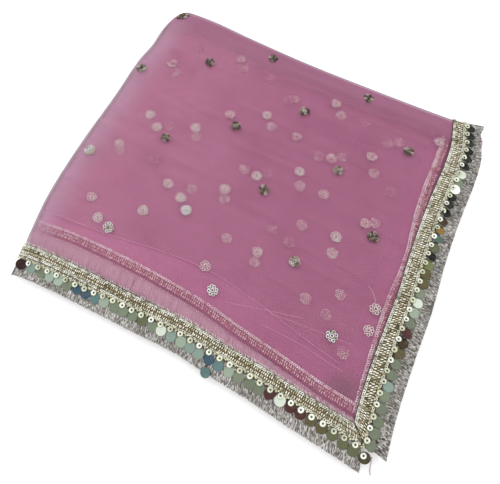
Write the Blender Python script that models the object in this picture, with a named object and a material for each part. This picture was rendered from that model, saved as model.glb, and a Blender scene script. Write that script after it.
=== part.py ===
"""A net dupatta stole, folded to a near-square pack and lying flat.

The cloth is a sheer net with a gota braid and a tinsel fringe sewn round its edges. It is folded
eight times along and four times across. Modelled are the top ply with its two trims, the ply
turned back beneath it with its own trims, the trims of the plies below, and the other plies as
one rounded body with its folds layered at the edges. Lengths are in metres.

Cloth coordinates: p runs across the pack from the left fold, q runs back from the front edge.
"""
import math
from collections import namedtuple

import bpy
import bmesh
from mathutils import Vector

# Driving sizes of the folded cloth
FLAT_WIDTH = 0.282          # top ply from the left roll to the side edge
FLAT_LENGTH = 0.270         # top ply from the front edge to the far roll
CLOTH_TOP = 0.0150          # height of the top ply's upper face
PLY = 0.0010                # wall of one built ply
SEAM = 0.0003               # gap between pieces that lie on each other

# The outer ply rolls loosely over the left fold and tightly over the far one
LEFT_REACH = 0.0080
LEFT_HALF_HEIGHT = 0.0073
LEFT_ROLL_END = -74.0       # degrees, where the ply tucks under the pack
FAR_REACH = 0.0035
FAR_HALF_HEIGHT = 0.0040
FAR_ROLL_END = 8.0          # degrees
WAVE_HEIGHT = 0.0007

# The plan outline, read as real sizes: x at a height y, or y at a place x
Fold = namedtuple("Fold", "y x")
Edge = namedtuple("Edge", "x y")
LEFT_FOLD = [
    Fold(-0.1450, -0.1402), Fold(-0.1285, -0.1404), Fold(-0.1080, -0.1462), Fold(-0.0720, -0.1546),
    Fold(-0.0200, -0.1602), Fold(0.0350, -0.1630), Fold(0.0780, -0.1664), Fold(0.1000, -0.1654),
    Fold(0.1180, -0.1669), Fold(0.1370, -0.1652), Fold(0.1490, -0.1590),
]
SIDE_EDGE = [
    Fold(-0.1450, 0.1535), Fold(-0.1330, 0.1506), Fold(-0.1000, 0.1447), Fold(-0.0600, 0.1404),
    Fold(-0.0200, 0.1372), Fold(0.0200, 0.1318), Fold(0.0600, 0.1282), Fold(0.1000, 0.1262),
    Fold(0.1200, 0.1236), Fold(0.1350, 0.1190), Fold(0.1500, 0.1134),
]
FRONT_EDGE = [
    Edge(-0.1450, -0.1290), Edge(-0.1130, -0.1256), Edge(-0.0700, -0.1243), Edge(-0.0300, -0.1236),
    Edge(0.0050, -0.1228), Edge(0.0350, -0.1252), Edge(0.0700, -0.1272), Edge(0.1050, -0.1301),
    Edge(0.1300, -0.1316), Edge(0.1520, -0.1334),
]
FAR_FOLD = [
    Edge(-0.1680, 0.1430), Edge(-0.1600, 0.1465), Edge(-0.1500, 0.1482), Edge(-0.1250, 0.1488),
    Edge(-0.0900, 0.1466), Edge(-0.0300, 0.1442), Edge(0.0300, 0.1446), Edge(0.0900, 0.1460),
    Edge(0.1150, 0.1474), Edge(0.1300, 0.14905),
]
LOWER_FOLD = [
    Fold(-0.1290, 0.1485), Fold(-0.0900, 0.1462), Fold(-0.0200, 0.1430), Fold(0.0400, 0.1402),
    Fold(0.0900, 0.1380), Fold(0.1300, 0.1362), Fold(0.1485, 0.1348),
]

# The turned-back second ply: how far its edges lie inside the top ply's
Front = namedtuple("Front", "p inset")
Side = namedtuple("Side", "q inset")
SECOND_FRONT = [
    Front(0.0000, 0.0220), Front(0.0500, 0.0238), Front(0.1000, 0.0236), Front(0.1500, 0.0196),
    Front(0.2000, 0.0158), Front(0.2450, 0.0130), Front(0.2820, 0.0118),
]
SECOND_SIDE = [
    Side(0.0000, 0.0030), Side(0.0300, 0.0036), Side(0.0600, 0.0046), Side(0.1000, 0.0066),
    Side(0.1400, 0.0042), Side(0.1800, 0.0080), Side(0.2300, 0.0100), Side(0.2700, 0.0080),
]
SECOND_LACE = 0.0105        # width of its braid

# The braid, across from its inner edge to its outer one: place and height over the ply
Rib = namedtuple("Rib", "across height")
BRAID = [
    Rib(0.0000, 0.0005), Rib(0.0006, 0.0014), Rib(0.0020, 0.0014), Rib(0.0027, 0.0006),
    Rib(0.0042, 0.0014), Rib(0.0076, 0.0015), Rib(0.0090, 0.0006), Rib(0.0102, 0.0013),
    Rib(0.0114, 0.0006),
]
BRAID_OVERHANG = 0.0004     # how far the braid's outer edge lies beyond the cloth
DISC_PITCH = 0.0083
DISC_RADIUS = 0.0043
DISC_CENTRE = 0.0053        # beyond the cloth's edge
DISC_INNER = 0.0012
DISC_THICKNESS = 0.0006

# Fringes: strips with their strands, which lie out over the plies below and end free
FRINGE_THICKNESS = 0.0008
FRINGE_STRIP = 0.0016
FRINGE_REACH = 0.0140
SIDE_REACH = 0.0156
FAN = 0.0040                # how far the end strands of a fringe lean outward
FAN_RUN = 0.0250
FRONT_SAG = 0.0062          # fall of the top fringe at its ends
SIDE_SAG = 0.0040
SAG_POWER = 1.5

# The hidden plies as one body, four blocks of folds high
BLOCKS = 4
CORE_TOP = CLOTH_TOP - 2 * PLY - 2 * SEAM - 0.0012
CROWN = 0.0008              # the core stands up inside the second ply's trims
GROOVE = 0.0013             # depth of the groove between two blocks
CORE_LEFT_GAP = 0.0066      # air inside the loose left roll
CORE_TOP_GAP = 0.0026       # inset of the top block under the tight far roll
CORE_FRONT_GAP = 0.0016
CORE_SIDE_GAP = 0.0024

NET_PINK = (0.47, 0.13, 0.27)
NET_DEEP = (0.42, 0.11, 0.24)
GOTA_GOLD = (0.55, 0.50, 0.36)
MIRROR_GREEN = (0.16, 0.19, 0.15)
TINSEL_SILVER = (0.48, 0.44, 0.42)


def table(rows, at):
    """Read a short table at a place, on a smooth curve through its rows."""
    last = len(rows) - 2
    k = 0
    while k < last and at > rows[k + 1][0]:
        k += 1
    (a0, b0), (a1, b1) = rows[k], rows[k + 1]
    before = rows[max(k - 1, 0)]
    after = rows[min(k + 2, len(rows) - 1)]
    rise0 = (b1 - before[1]) / (a1 - before[0])
    rise1 = (after[1] - b0) / (after[0] - a0)
    span = a1 - a0
    t = (at - a0) / span
    if t < 0 or t > 1:
        return b0 + rise0 * (at - a0) if t < 0 else b1 + rise1 * (at - a1)
    return (
        b0 * (1 + 2 * t) * (1 - t) ** 2 + b1 * t * t * (3 - 2 * t)
        + span * (rise0 * t * (1 - t) ** 2 - rise1 * t * t * (1 - t))
    )


def ease(low, high, at):
    """0 below low, 1 above high, and smooth between them."""
    t = min(max((at - low) / (high - low), 0.0), 1.0)
    return t * t * (3 - 2 * t)


def left_angle(p):
    """How far round the left roll a place is, in radians; a quarter turn at its top."""
    mean = (LEFT_REACH + LEFT_HALF_HEIGHT) / 2
    return max(math.pi / 2 + min(p, 0.0) / mean, math.radians(LEFT_ROLL_END))


def far_angle(q):
    mean = (FAR_REACH + FAR_HALF_HEIGHT) / 2
    return max(math.pi / 2 - max(q - FLAT_LENGTH, 0.0) / mean, math.radians(FAR_ROLL_END))


def left_end():
    mean = (LEFT_REACH + LEFT_HALF_HEIGHT) / 2
    return (math.radians(LEFT_ROLL_END) - math.pi / 2) * mean


def far_end():
    mean = (FAR_REACH + FAR_HALF_HEIGHT) / 2
    return FLAT_LENGTH + (math.pi / 2 - math.radians(FAR_ROLL_END)) * mean


def wave(p, q):
    """The slack of the net: three soft swells, none below the flat."""
    u = p / FLAT_WIDTH
    v = q / FLAT_LENGTH
    inside = ease(0.0, 0.25, u) * ease(0.0, 0.2, 1 - u) * ease(0.12, 0.3, v) * ease(0.0, 0.2, 1 - v)
    swell = 0.5 + 0.5 * math.sin(5.1 * u + 2.6 * v) * math.cos(6.3 * v - 2.2 * u)
    return WAVE_HEIGHT * inside * swell


def cloth(p, q):
    """The top ply's upper face at cloth coordinates p, q."""
    across = LEFT_REACH * (1 - math.cos(left_angle(p)))
    back = FAR_REACH * (1 - math.cos(far_angle(q)))
    x = y = 0.0
    for _ in range(6):
        near, far = table(FRONT_EDGE, x), table(FAR_FOLD, x)
        left, right = table(LEFT_FOLD, y), table(SIDE_EDGE, y)
        x = left + across + max(p, 0.0) * (right - left - LEFT_REACH) / FLAT_WIDTH
        if q > FLAT_LENGTH:
            y = far - back
        else:
            y = near + q * (far - FAR_REACH - near) / FLAT_LENGTH
    left_drop = LEFT_HALF_HEIGHT * (1 - math.sin(left_angle(p)))
    far_drop = FAR_HALF_HEIGHT * (1 - math.sin(far_angle(q)))
    z = CLOTH_TOP + wave(p, q) - left_drop
    z -= far_drop * (1 - left_drop / (2 * LEFT_HALF_HEIGHT))
    z -= FRONT_SAG * (max(-q, 0.0) / FRINGE_REACH) ** SAG_POWER
    z -= SIDE_SAG * (max(p - FLAT_WIDTH, 0.0) / FRINGE_REACH) ** SAG_POWER
    return Vector((x, y, z))


def over(p, q, lift):
    """A place moved out from the top ply, or in where lift is below zero."""
    step = 0.0004
    along_p = cloth(p + step, q) - cloth(p - step, q)
    along_q = cloth(p, q + step) - cloth(p, q - step)
    return cloth(p, q) + along_p.cross(along_q).normalized() * lift


def material(name, colour, roughness, metallic):
    finish = bpy.data.materials.new(name)
    finish.use_nodes = True
    shader = finish.node_tree.nodes["Principled BSDF"]
    shader.inputs["Base Color"].default_value = (*colour, 1.0)
    shader.inputs["Roughness"].default_value = roughness
    shader.inputs["Metallic"].default_value = metallic
    return finish


def add_object(name, form, finish):
    """Close the mesh's books: faces out, smooth, in the scene under its name."""
    bmesh.ops.recalc_face_normals(form, faces=form.faces)
    mesh = bpy.data.meshes.new(name)
    form.to_mesh(mesh)
    form.free()
    mesh.materials.append(finish)
    mesh.shade_smooth()
    mesh.set_sharp_from_angle(angle=math.radians(35))
    thing = bpy.data.objects.new(name, mesh)
    bpy.context.scene.collection.objects.link(thing)
    return thing


def wall(name, upper, lower, finish):
    """One closed wall between two grids of points, its rim included."""
    form = bmesh.new()
    top = [[form.verts.new(point) for point in row] for row in upper]
    bottom = [[form.verts.new(point) for point in row] for row in lower]
    rows, columns = len(top), len(top[0])
    for i in range(rows - 1):
        for j in range(columns - 1):
            form.faces.new((top[i][j], top[i + 1][j], top[i + 1][j + 1], top[i][j + 1]))
            form.faces.new((bottom[i][j], bottom[i][j + 1], bottom[i + 1][j + 1], bottom[i + 1][j]))
    rim = [(i, 0) for i in range(rows)]
    rim += [(rows - 1, j) for j in range(1, columns)]
    rim += [(i, columns - 1) for i in range(rows - 2, -1, -1)]
    rim += [(0, j) for j in range(columns - 2, 0, -1)]
    for (i, j), (m, n) in zip(rim, rim[1:] + rim[:1]):
        form.faces.new((top[i][j], bottom[i][j], bottom[m][n], top[m][n]))
    return add_object(name, form, finish)


def spread(start, end, count):
    """Evenly spaced values, both ends included."""
    return [start + (end - start) * k / (count - 1) for k in range(count)]


def second_front(p):
    return table(SECOND_FRONT, p)


def second_side(q):
    return table(SECOND_SIDE, q)


# The top ply: one wall, round the left fold to the underside and over the far fold
def top_ply():
    ps = spread(left_end(), 0.0, 9)[:-1] + spread(0.0, FLAT_WIDTH - SEAM, 13)
    qs = spread(0.0, FLAT_LENGTH, 13)[:-1] + spread(FLAT_LENGTH, far_end(), 4)
    upper = [[over(p, q, 0.0) for q in qs] for p in ps]
    lower = [[over(p, q, -PLY) for q in qs] for p in ps]
    return wall("top_ply", upper, lower, material("net_top", NET_PINK, 0.55, 0.0))


# The second ply lies face down under the top one, set in from its edges
def second_ply():
    depth = PLY + SEAM
    start = 0.0010
    shares = spread(0.0, 1.0, 14)
    upper, lower = [], []
    for a in shares:
        top_row, bottom_row = [], []
        for b in shares:
            p = q = 0.0
            for _ in range(3):
                p = start + a * (FLAT_WIDTH - second_side(q) - start)
                q = second_front(p) + b * (FLAT_LENGTH - 0.0012 - second_front(p))
            top_row.append(over(p, q, -depth))
            bottom_row.append(over(p, q, -depth - PLY))
        upper.append(top_row)
        lower.append(bottom_row)
    return wall("second_ply", upper, lower, material("net_second", NET_PINK, 0.55, 0.0))


# The second ply's braids lie on its face, so under it, and its fringe runs on from its edge
def second_trims():
    gold = material("gota_under", GOTA_GOLD, 0.4, 0.6)
    depth = 2 * PLY + 3 * SEAM
    thickness = 0.0008
    corner = second_front(FLAT_WIDTH)
    ends = FLAT_WIDTH - second_side(corner) - SECOND_LACE - SEAM
    ps = spread(0.0020, ends, 18)
    across = (0.0, SECOND_LACE / 2, SECOND_LACE)
    grid = [[(p, second_front(p) + d) for d in across] for p in ps]
    wall(
        "under_lace_front",
        [[over(p, q, -depth) for p, q in row] for row in grid],
        [[over(p, q, -depth - thickness) for p, q in row] for row in grid],
        gold,
    )
    qs = spread(corner, FLAT_LENGTH - 0.0012, 18)
    grid = [[(FLAT_WIDTH - second_side(q) - SECOND_LACE + d, q) for q in qs] for d in across]
    wall(
        "under_lace_side",
        [[over(p, q, -depth) for p, q in row] for row in grid],
        [[over(p, q, -depth - thickness) for p, q in row] for row in grid],
        gold,
    )


# The two braids of the top ply meet in a mitre at the corner and run on round the folds
def top_braids():
    gold = material("gota_top", GOTA_GOLD, 0.35, 0.7)
    width = BRAID[-1].across
    left_run = 0.0100
    far_run = 0.0036

    def across_front(rib, share):
        q = width - rib.across - BRAID_OVERHANG
        return share * (left_run if share < 0 else FLAT_WIDTH - q - SEAM / 2), q

    def across_side(rib, share):
        p = FLAT_WIDTH - width + rib.across + BRAID_OVERHANG
        start = FLAT_WIDTH - p + SEAM / 2
        if share < 0:
            return p, FLAT_LENGTH - share * far_run
        return p, FLAT_LENGTH + share * (start - FLAT_LENGTH)

    shares = spread(-1.0, 0.0, 6)[:-1] + spread(0.0, 1.0, 24)
    for name, place in (("lace_front", across_front), ("lace_side", across_side)):
        upper, lower = [], []
        for share in shares:
            spots = [(rib, place(rib, share)) for rib in BRAID]
            upper.append([over(p, q, SEAM + rib.height) for rib, (p, q) in spots])
            lower.append([over(p, q, SEAM) for rib, (p, q) in spots])
        wall(name, upper, lower, gold)


def on_front(along, out, lift):
    """A place on the front trim: along the edge, out beyond the cloth."""
    return over(along, -out, lift)


def on_side(along, out, lift):
    return over(FLAT_WIDTH + out, along, lift)


# The discs hang in a row over the fringe's root, each touching the next
def disc_rows():
    mirror = material("mirror_discs", MIRROR_GREEN, 0.15, 0.9)
    steps = 4
    rows = (
        ("disc_row_front", on_front, -0.0035, FLAT_WIDTH - 0.0008),
        ("disc_row_side", on_side, 0.0015, FLAT_LENGTH + 0.0010),
    )
    for name, place, start, end in rows:
        count = round((end - start) / DISC_PITCH)
        pitch = (end - start) / count
        inner, outer = [], []
        for k in range(count * steps + 1):
            along = start + k * pitch / steps
            aside = (k % steps) / steps * pitch - pitch / 2
            reach = math.sqrt(DISC_RADIUS ** 2 - aside ** 2)
            inner.append((along, DISC_INNER))
            outer.append((along, DISC_CENTRE + reach))
        upper = [[place(a, d, SEAM + DISC_THICKNESS) for a, d in pair] for pair in zip(inner, outer)]
        lower = [[place(a, d, SEAM) for a, d in pair] for pair in zip(inner, outer)]
        wall(name, upper, lower, mirror)


def comb(name, place, start, end, count, reach, segments, finish, fans=(0.0, 0.0)):
    """A narrow strip with flat strands fused to it, which stand apart and taper to their ends.

    place(along, out, lift) gives a point; out runs from the strip's inner side to the ends.
    fans says how far the strands lean at the start and at the end of the strip.
    """
    form = bmesh.new()
    pitch = (end - start) / count
    width = pitch * 0.78
    inner, outer = [], []
    roots = []
    for k in range(count):
        middle = start + (k + 0.5) * pitch
        for side in (-0.5, 0.5):
            along = middle + side * width
            inner.append([form.verts.new(place(along, 0.0, h)) for h in (0.0, -FRINGE_THICKNESS)])
            outer.append([form.verts.new(place(along, FRINGE_STRIP, h)) for h in (0.0, -FRINGE_THICKNESS)])
        roots.append(middle)
    for k in range(len(inner) - 1):
        a, b, c, d = inner[k], inner[k + 1], outer[k + 1], outer[k]
        form.faces.new((a[0], b[0], c[0], d[0]))
        form.faces.new((a[1], d[1], c[1], b[1]))
        form.faces.new((a[0], a[1], b[1], b[0]))
        if k % 2:
            form.faces.new((d[0], c[0], c[1], d[1]))
    for k in (0, -1):
        form.faces.new((inner[k][0], outer[k][0], outer[k][1], inner[k][1]))
    for k, middle in enumerate(roots):
        ring = [outer[2 * k][0], outer[2 * k + 1][0], outer[2 * k + 1][1], outer[2 * k][1]]
        length = reach * (1 + 0.05 * math.sin(2.4 * k) + 0.03 * math.sin(5.3 * k + 1))
        lean = 0.25 * pitch * math.sin(1.7 * k)
        lean += fans[0] * (1 - ease(start, start + FAN_RUN, middle))
        lean += fans[1] * ease(end - FAN_RUN, end, middle)
        for s in range(1, segments + 1):
            share = s / segments
            half = width / 2 * (1 - 0.45 * share)
            thin = FRINGE_THICKNESS * (1 - 0.4 * share)
            out = FRINGE_STRIP + share * (length - FRINGE_STRIP)
            at = middle + lean * share
            corners = ((at - half, 0.0), (at + half, 0.0), (at + half, -thin), (at - half, -thin))
            nxt = [form.verts.new(place(along, out, h)) for along, h in corners]
            for m in range(4):
                n = (m + 1) % 4
                form.faces.new((ring[m], ring[n], nxt[n], nxt[m]))
            ring = nxt
        form.faces.new(ring)
    return add_object(name, form, finish)


# The top ply's fringes, parted from the cloth's edge
def top_fringes():
    tinsel = material("tinsel_top", TINSEL_SILVER, 0.35, 0.6)
    comb(
        "fringe_front", lambda a, d, h: on_front(a, SEAM + d, h),
        -0.0045, FLAT_WIDTH - 0.0006, 64, FRINGE_REACH, 2, tinsel, (-FAN, 0.0),
    )
    comb(
        "fringe_side", lambda a, d, h: on_side(a, SEAM + d, h),
        0.0006, FLAT_LENGTH + 0.0030, 62, SIDE_REACH, 2, tinsel, (0.0, FAN),
    )


# The fringes of the plies below show at the edges, and the second ply's through the top one
def lower_fringes():
    tinsel = material("tinsel_lower", TINSEL_SILVER, 0.4, 0.5)
    depth = PLY + SEAM
    comb(
        "under_fringe_front", lambda a, d, h: over(a, second_front(a) - SEAM - d, h - depth),
        0.0030, FLAT_WIDTH - 0.0060, 34, 0.0130, 1, tinsel,
    )
    front_root = 0.0074

    def below_front(along, out, lift):
        spot = cloth(along, CORE_FRONT_GAP - SEAM - out)
        return Vector((spot.x, spot.y, front_root - 0.0060 * (out / FRINGE_REACH) ** SAG_POWER + lift))

    comb("lower_fringe_front", below_front, 0.0005, FLAT_WIDTH - 0.0030, 36, 0.0134, 1, tinsel)
    side_root = 0.0104

    def below_side(along, out, lift):
        spot = cloth(FLAT_WIDTH - CORE_SIDE_GAP + SEAM + out, along)
        return Vector((spot.x, spot.y, side_root - 0.0026 * (out / FRINGE_REACH) ** SAG_POWER + lift))

    comb("lower_fringe_side", below_side, 0.0040, FLAT_LENGTH - 0.0010, 36, 0.0150, 1, tinsel)


def core_outline(low_block, top_block):
    """The hidden body's plan: points round it with the way out at each, corners cut short."""
    side = LOWER_FOLD if low_block else SIDE_EDGE
    side_gap = 0.0 if low_block else CORE_SIDE_GAP
    far_gap = CORE_TOP_GAP if top_block else 0.0
    shares = spread(0.02, 0.98, 13)

    def left_x(y):
        return table(LEFT_FOLD, y) + CORE_LEFT_GAP

    def right_x(y):
        return table(side, y) - side_gap

    def front_y(x):
        return table(FRONT_EDGE, x) + CORE_FRONT_GAP

    def far_y(x):
        return table(FAR_FOLD, x) - far_gap

    corners = []
    for x_of, y_of in ((left_x, front_y), (right_x, front_y), (right_x, far_y), (left_x, far_y)):
        x = y = 0.0
        for _ in range(6):
            x, y = x_of(y), y_of(x)
        corners.append((x, y))
    (x0, y0), (x1, y1), (x2, y2), (x3, y3) = corners
    points = []
    for t in shares:
        x = x0 + t * (x1 - x0)
        points.append(Vector((x, front_y(x), 0.0)))
    for t in shares:
        y = y1 + t * (y2 - y1)
        points.append(Vector((right_x(y), y, 0.0)))
    for t in shares:
        x = x2 + t * (x3 - x2)
        points.append(Vector((x, far_y(x), 0.0)))
    for t in shares:
        y = y3 + t * (y0 - y3)
        points.append(Vector((left_x(y), y, 0.0)))
    ways = []
    for k, point in enumerate(points):
        along = points[(k + 1) % len(points)] - points[k - 1]
        ways.append(Vector((along.y, -along.x, 0.0)).normalized())
    return points, ways


# The hidden plies: blocks of folds with a groove between them, flat below, crowned above
def inner_folds():
    form = bmesh.new()
    loops = []

    def add_loop(block, inset, height, shrink=1.0):
        points, ways = core_outline(block < BLOCKS // 2, block == BLOCKS - 1)
        middle = Vector((0.0, 0.0, 0.0))
        for point in points:
            middle += point / len(points)
        loop = []
        for point, way in zip(points, ways):
            spot = middle + (point - way * inset - middle) * shrink
            loop.append(form.verts.new((spot.x, spot.y, height)))
        loops.append(loop)

    block_height = CORE_TOP / BLOCKS
    for block in range(BLOCKS):
        base = block * block_height
        add_loop(block, GROOVE, base)
        add_loop(block, 0.0, base + 0.3 * block_height)
        add_loop(block, 0.0, base + 0.7 * block_height)
        if block == BLOCKS // 2 - 1:
            add_loop(block, GROOVE, base + 0.97 * block_height)
    top = BLOCKS - 1
    add_loop(top, GROOVE, CORE_TOP)
    add_loop(top, 0.0, CORE_TOP, 0.74)
    add_loop(top, 0.0, CORE_TOP + CROWN, 0.70)
    for low, high in zip(loops, loops[1:]):
        for k in range(len(low)):
            n = (k + 1) % len(low)
            form.faces.new((low[k], low[n], high[n], high[k]))
    form.faces.new(loops[0])
    form.faces.new(loops[-1])
    return add_object("inner_folds", form, material("net_inner", NET_DEEP, 0.6, 0.0))


for thing in list(bpy.data.objects):
    bpy.data.objects.remove(thing, do_unlink=True)
inner_folds()
second_trims()
second_ply()
top_ply()
top_braids()
disc_rows()
top_fringes()
lower_fringes()
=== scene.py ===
"""The visible model of a net dupatta stole, folded to a flat pack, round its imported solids.

The pack is made in the order in which it is put together: the hidden plies, the fringes of the
plies below, the turned-back second ply with its trims, and the top ply with its trims and
flowers. Lengths are in metres.
"""
import math

import bmesh
import bpy
import numpy as np
from mathutils import Matrix, Vector


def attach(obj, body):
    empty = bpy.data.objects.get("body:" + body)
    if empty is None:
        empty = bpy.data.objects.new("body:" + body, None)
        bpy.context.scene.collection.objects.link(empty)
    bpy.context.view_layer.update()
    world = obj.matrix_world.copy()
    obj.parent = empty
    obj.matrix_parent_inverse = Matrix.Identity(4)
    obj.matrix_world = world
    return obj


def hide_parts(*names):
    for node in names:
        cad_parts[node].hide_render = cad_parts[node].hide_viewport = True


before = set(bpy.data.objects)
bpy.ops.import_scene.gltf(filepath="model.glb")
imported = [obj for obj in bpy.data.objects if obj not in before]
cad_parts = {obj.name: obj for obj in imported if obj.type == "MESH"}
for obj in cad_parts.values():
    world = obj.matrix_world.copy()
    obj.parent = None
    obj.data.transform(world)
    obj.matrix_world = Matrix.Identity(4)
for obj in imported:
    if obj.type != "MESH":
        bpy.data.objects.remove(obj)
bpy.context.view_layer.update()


# The view: the pack is seen from high above its near corner. The camera stands almost over
# that corner, leans a little, and keeps the whole pack in its frame.
CAMERA_PLACE = (0.1301, -0.2384, 0.4768)
LENS_LENGTH = 48.96         # in millimetres, on a sensor 36 mm wide
azimuth, elevation, roll = math.radians(30.53), math.radians(63.0), math.radians(2.0)
forward = Vector((
    -math.sin(azimuth) * math.cos(elevation),
    math.cos(azimuth) * math.cos(elevation),
    -math.sin(elevation),
))
level = Vector((math.cos(azimuth), math.sin(azimuth), 0.0))
down = forward.cross(level)
across = level * math.cos(roll) + down * math.sin(roll)
below = down * math.cos(roll) - level * math.sin(roll)
lens = bpy.data.cameras.new("camera")
lens.lens = LENS_LENGTH
lens.sensor_width = 36.0
lens.clip_start = 0.01
camera = bpy.data.objects.new("camera", lens)
bpy.context.scene.collection.objects.link(camera)
turn = Matrix((across, -below, -forward)).transposed()
camera.matrix_world = Matrix.Translation(CAMERA_PLACE) @ turn.to_4x4()
bpy.context.scene.camera = camera


# The floor and the light: a pale studio table, a broad soft lamp over the pack and a weaker one
# from the far right. None of them belongs to the stole.
FLOOR_SIZE = 8.0
ROOM_LIGHT = 0.95
LAMPS = (                   # name, place, width, watts
    ("key", (-0.15, -0.30, 1.60), 2.2, 9.5),
    ("fill", (0.60, 0.95, 1.20), 1.4, 4.0),
)


def paint(red, green, blue):
    """A colour as the eye reads it, 0 to 255, in the linear values that a shader takes."""
    linear = []
    for value in (red, green, blue):
        share = value / 255
        linear.append(share / 12.92 if share <= 0.04045 else ((share + 0.055) / 1.055) ** 2.4)
    return (*linear, 1.0)


class Link:
    """One output of a node; arithmetic on it adds Math nodes to its tree."""

    def __init__(self, tree, socket):
        self.tree = tree
        self.socket = socket

    def math(self, operation, *values):
        return self.tree.add("ShaderNodeMath", {"operation": operation}, dict(enumerate(values)))

    def other(self, name):
        """Another output of the same node."""
        return Link(self.tree, self.socket.node.outputs[name])

    def __add__(self, value):
        return self.math("ADD", self, value)

    def __mul__(self, value):
        return self.math("MULTIPLY", self, value)

    def __rsub__(self, value):
        return self.math("SUBTRACT", value, self)

    def cosine(self):
        return self.math("COSINE", self)

    __radd__ = __add__
    __rmul__ = __mul__


class Tree:
    """A node tree, of a material or of Geometry Nodes, that is built node by node."""

    def __init__(self, nodes):
        self.nodes = nodes

    def feed(self, node, values):
        for name, value in values.items():
            if isinstance(value, Link):
                self.nodes.links.new(value.socket, node.inputs[name])
            else:
                node.inputs[name].default_value = value

    def add(self, kind, settings=None, values=None, output=0):
        node = self.nodes.nodes.new(kind)
        for name, value in (settings or {}).items():
            if name == "stops":
                ramp = node.color_ramp
                while len(ramp.elements) < len(value):
                    ramp.elements.new(0.5)
                for stop, (position, colour) in zip(ramp.elements, value):
                    stop.position = position
                    stop.color = colour
            else:
                setattr(node, name, value)
        self.feed(node, values or {})
        return Link(self, node.outputs[output])

    def spot(self):
        """Where a point of the piece is."""
        return self.add("ShaderNodeTexCoord", output="Object")

    def kept(self, name, output="Fac"):
        """A value that the mesh keeps under this name."""
        return self.add("ShaderNodeAttribute", {"attribute_name": name}, output=output)

    def noise(self, place, scale, detail=2.0):
        return self.add("ShaderNodeTexNoise", {}, {
            "Vector": place, "Scale": scale, "Detail": detail,
        })

    def blend(self, share, first, second):
        """A mix of two colours."""
        return self.add("ShaderNodeMix", {"data_type": "RGBA"}, {0: share, 6: first, 7: second}, 2)

    def ramp(self, share, *stops):
        return self.add("ShaderNodeValToRGB", {"stops": stops}, {"Fac": share})

    def spread(self, share, low, high, first=0.0, last=1.0):
        """Values from low to high become values from first to last, smoothly."""
        return self.add(
            "ShaderNodeMapRange", {"interpolation_type": "SMOOTHSTEP"},
            {"Value": share, "From Min": low, "From Max": high, "To Min": first, "To Max": last},
        )

    def bump(self, height, distance, strength=1.0):
        return self.add(
            "ShaderNodeBump", {}, {"Height": height, "Distance": distance, "Strength": strength},
        )


def finish(name, **fixed):
    """A new material: itself, its tree and its shader, whose fixed values are set."""
    material = bpy.data.materials.new(name)
    material.use_nodes = True
    shader = material.node_tree.nodes["Principled BSDF"]
    for key, value in fixed.items():
        shader.inputs[key.replace("_", " ")].default_value = value
    return material, Tree(material.node_tree), shader


def speckled(name, scale, low, high, grain=0.0, **fixed):
    """A finish of two tones that a fine noise mixes, with a raised grain where one is given."""
    material, tree, shader = finish(name, **fixed)
    tone = tree.noise(tree.spot(), scale)
    tree.feed(shader, {"Base Color": tree.blend(tone, paint(*low), paint(*high))})
    if grain:
        tree.feed(shader, {"Normal": tree.bump(tone, grain)})
    return material


bpy.ops.mesh.primitive_plane_add(size=FLOOR_SIZE, location=(0.0, 0.0, 0.0))
floor = bpy.context.object
floor.name = "floor"
floor.data.materials.append(speckled(
    "pale floor", 900.0, (249, 249, 249), (253, 253, 253),
    Roughness=0.9, Emission_Color=(1.0, 1.0, 1.0, 1.0), Emission_Strength=0.22,
))

for name, place, size, power in LAMPS:
    lamp = bpy.data.lights.new(name, "AREA")
    lamp.size = size
    lamp.energy = power
    holder = bpy.data.objects.new(name, lamp)
    bpy.context.scene.collection.objects.link(holder)
    holder.location = place
    holder.rotation_euler = (-Vector(place)).to_track_quat("-Z", "Y").to_euler()

world = bpy.data.worlds.new("room")
world.use_nodes = True
backdrop = world.node_tree.nodes["Background"]
backdrop.inputs["Color"].default_value = (1.0, 1.0, 1.0, 1.0)
backdrop.inputs["Strength"].default_value = ROOM_LIGHT
bpy.context.scene.world = world
bpy.context.scene.view_settings.view_transform = "Standard"


# The hidden plies: the other folds of the net, pressed to a pack about 11 mm high. Each fold
# shows as a soft rounded edge, none quite in line with the next, and the topmost one lies flat.
FLAT_WIDTH = 0.282          # top ply from the left roll to the side edge
FLAT_LENGTH = 0.270         # top ply from the front edge to the far roll
CLOTH_TOP = 0.0150          # height of the top ply's upper face
LEFT_FOLD = [               # y, x
    (-0.1450, -0.1402), (-0.1285, -0.1404), (-0.1080, -0.1462), (-0.0720, -0.1546),
    (-0.0200, -0.1602), (0.0350, -0.1630), (0.0780, -0.1664), (0.1000, -0.1654),
    (0.1180, -0.1669), (0.1370, -0.1652), (0.1490, -0.1590),
]
SIDE_EDGE = [               # y, x
    (-0.1450, 0.1535), (-0.1330, 0.1506), (-0.1000, 0.1447), (-0.0600, 0.1404),
    (-0.0200, 0.1372), (0.0200, 0.1318), (0.0600, 0.1282), (0.1000, 0.1262),
    (0.1200, 0.1236), (0.1350, 0.1190), (0.1500, 0.1134),
]
FRONT_EDGE = [              # x, y
    (-0.1450, -0.1290), (-0.1130, -0.1256), (-0.0700, -0.1243), (-0.0300, -0.1236),
    (0.0050, -0.1228), (0.0350, -0.1252), (0.0700, -0.1272), (0.1050, -0.1301),
    (0.1300, -0.1316), (0.1520, -0.1334),
]
FAR_FOLD = [                # x, y
    (-0.1680, 0.1430), (-0.1600, 0.1465), (-0.1500, 0.1482), (-0.1250, 0.1488),
    (-0.0900, 0.1466), (-0.0300, 0.1442), (0.0300, 0.1446), (0.0900, 0.1460),
    (0.1150, 0.1474), (0.1300, 0.14905),
]
LOWER_FOLD = [              # y, x
    (-0.1290, 0.1485), (-0.0900, 0.1462), (-0.0200, 0.1430), (0.0400, 0.1402),
    (0.0900, 0.1380), (0.1300, 0.1362), (0.1485, 0.1348),
]
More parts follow.
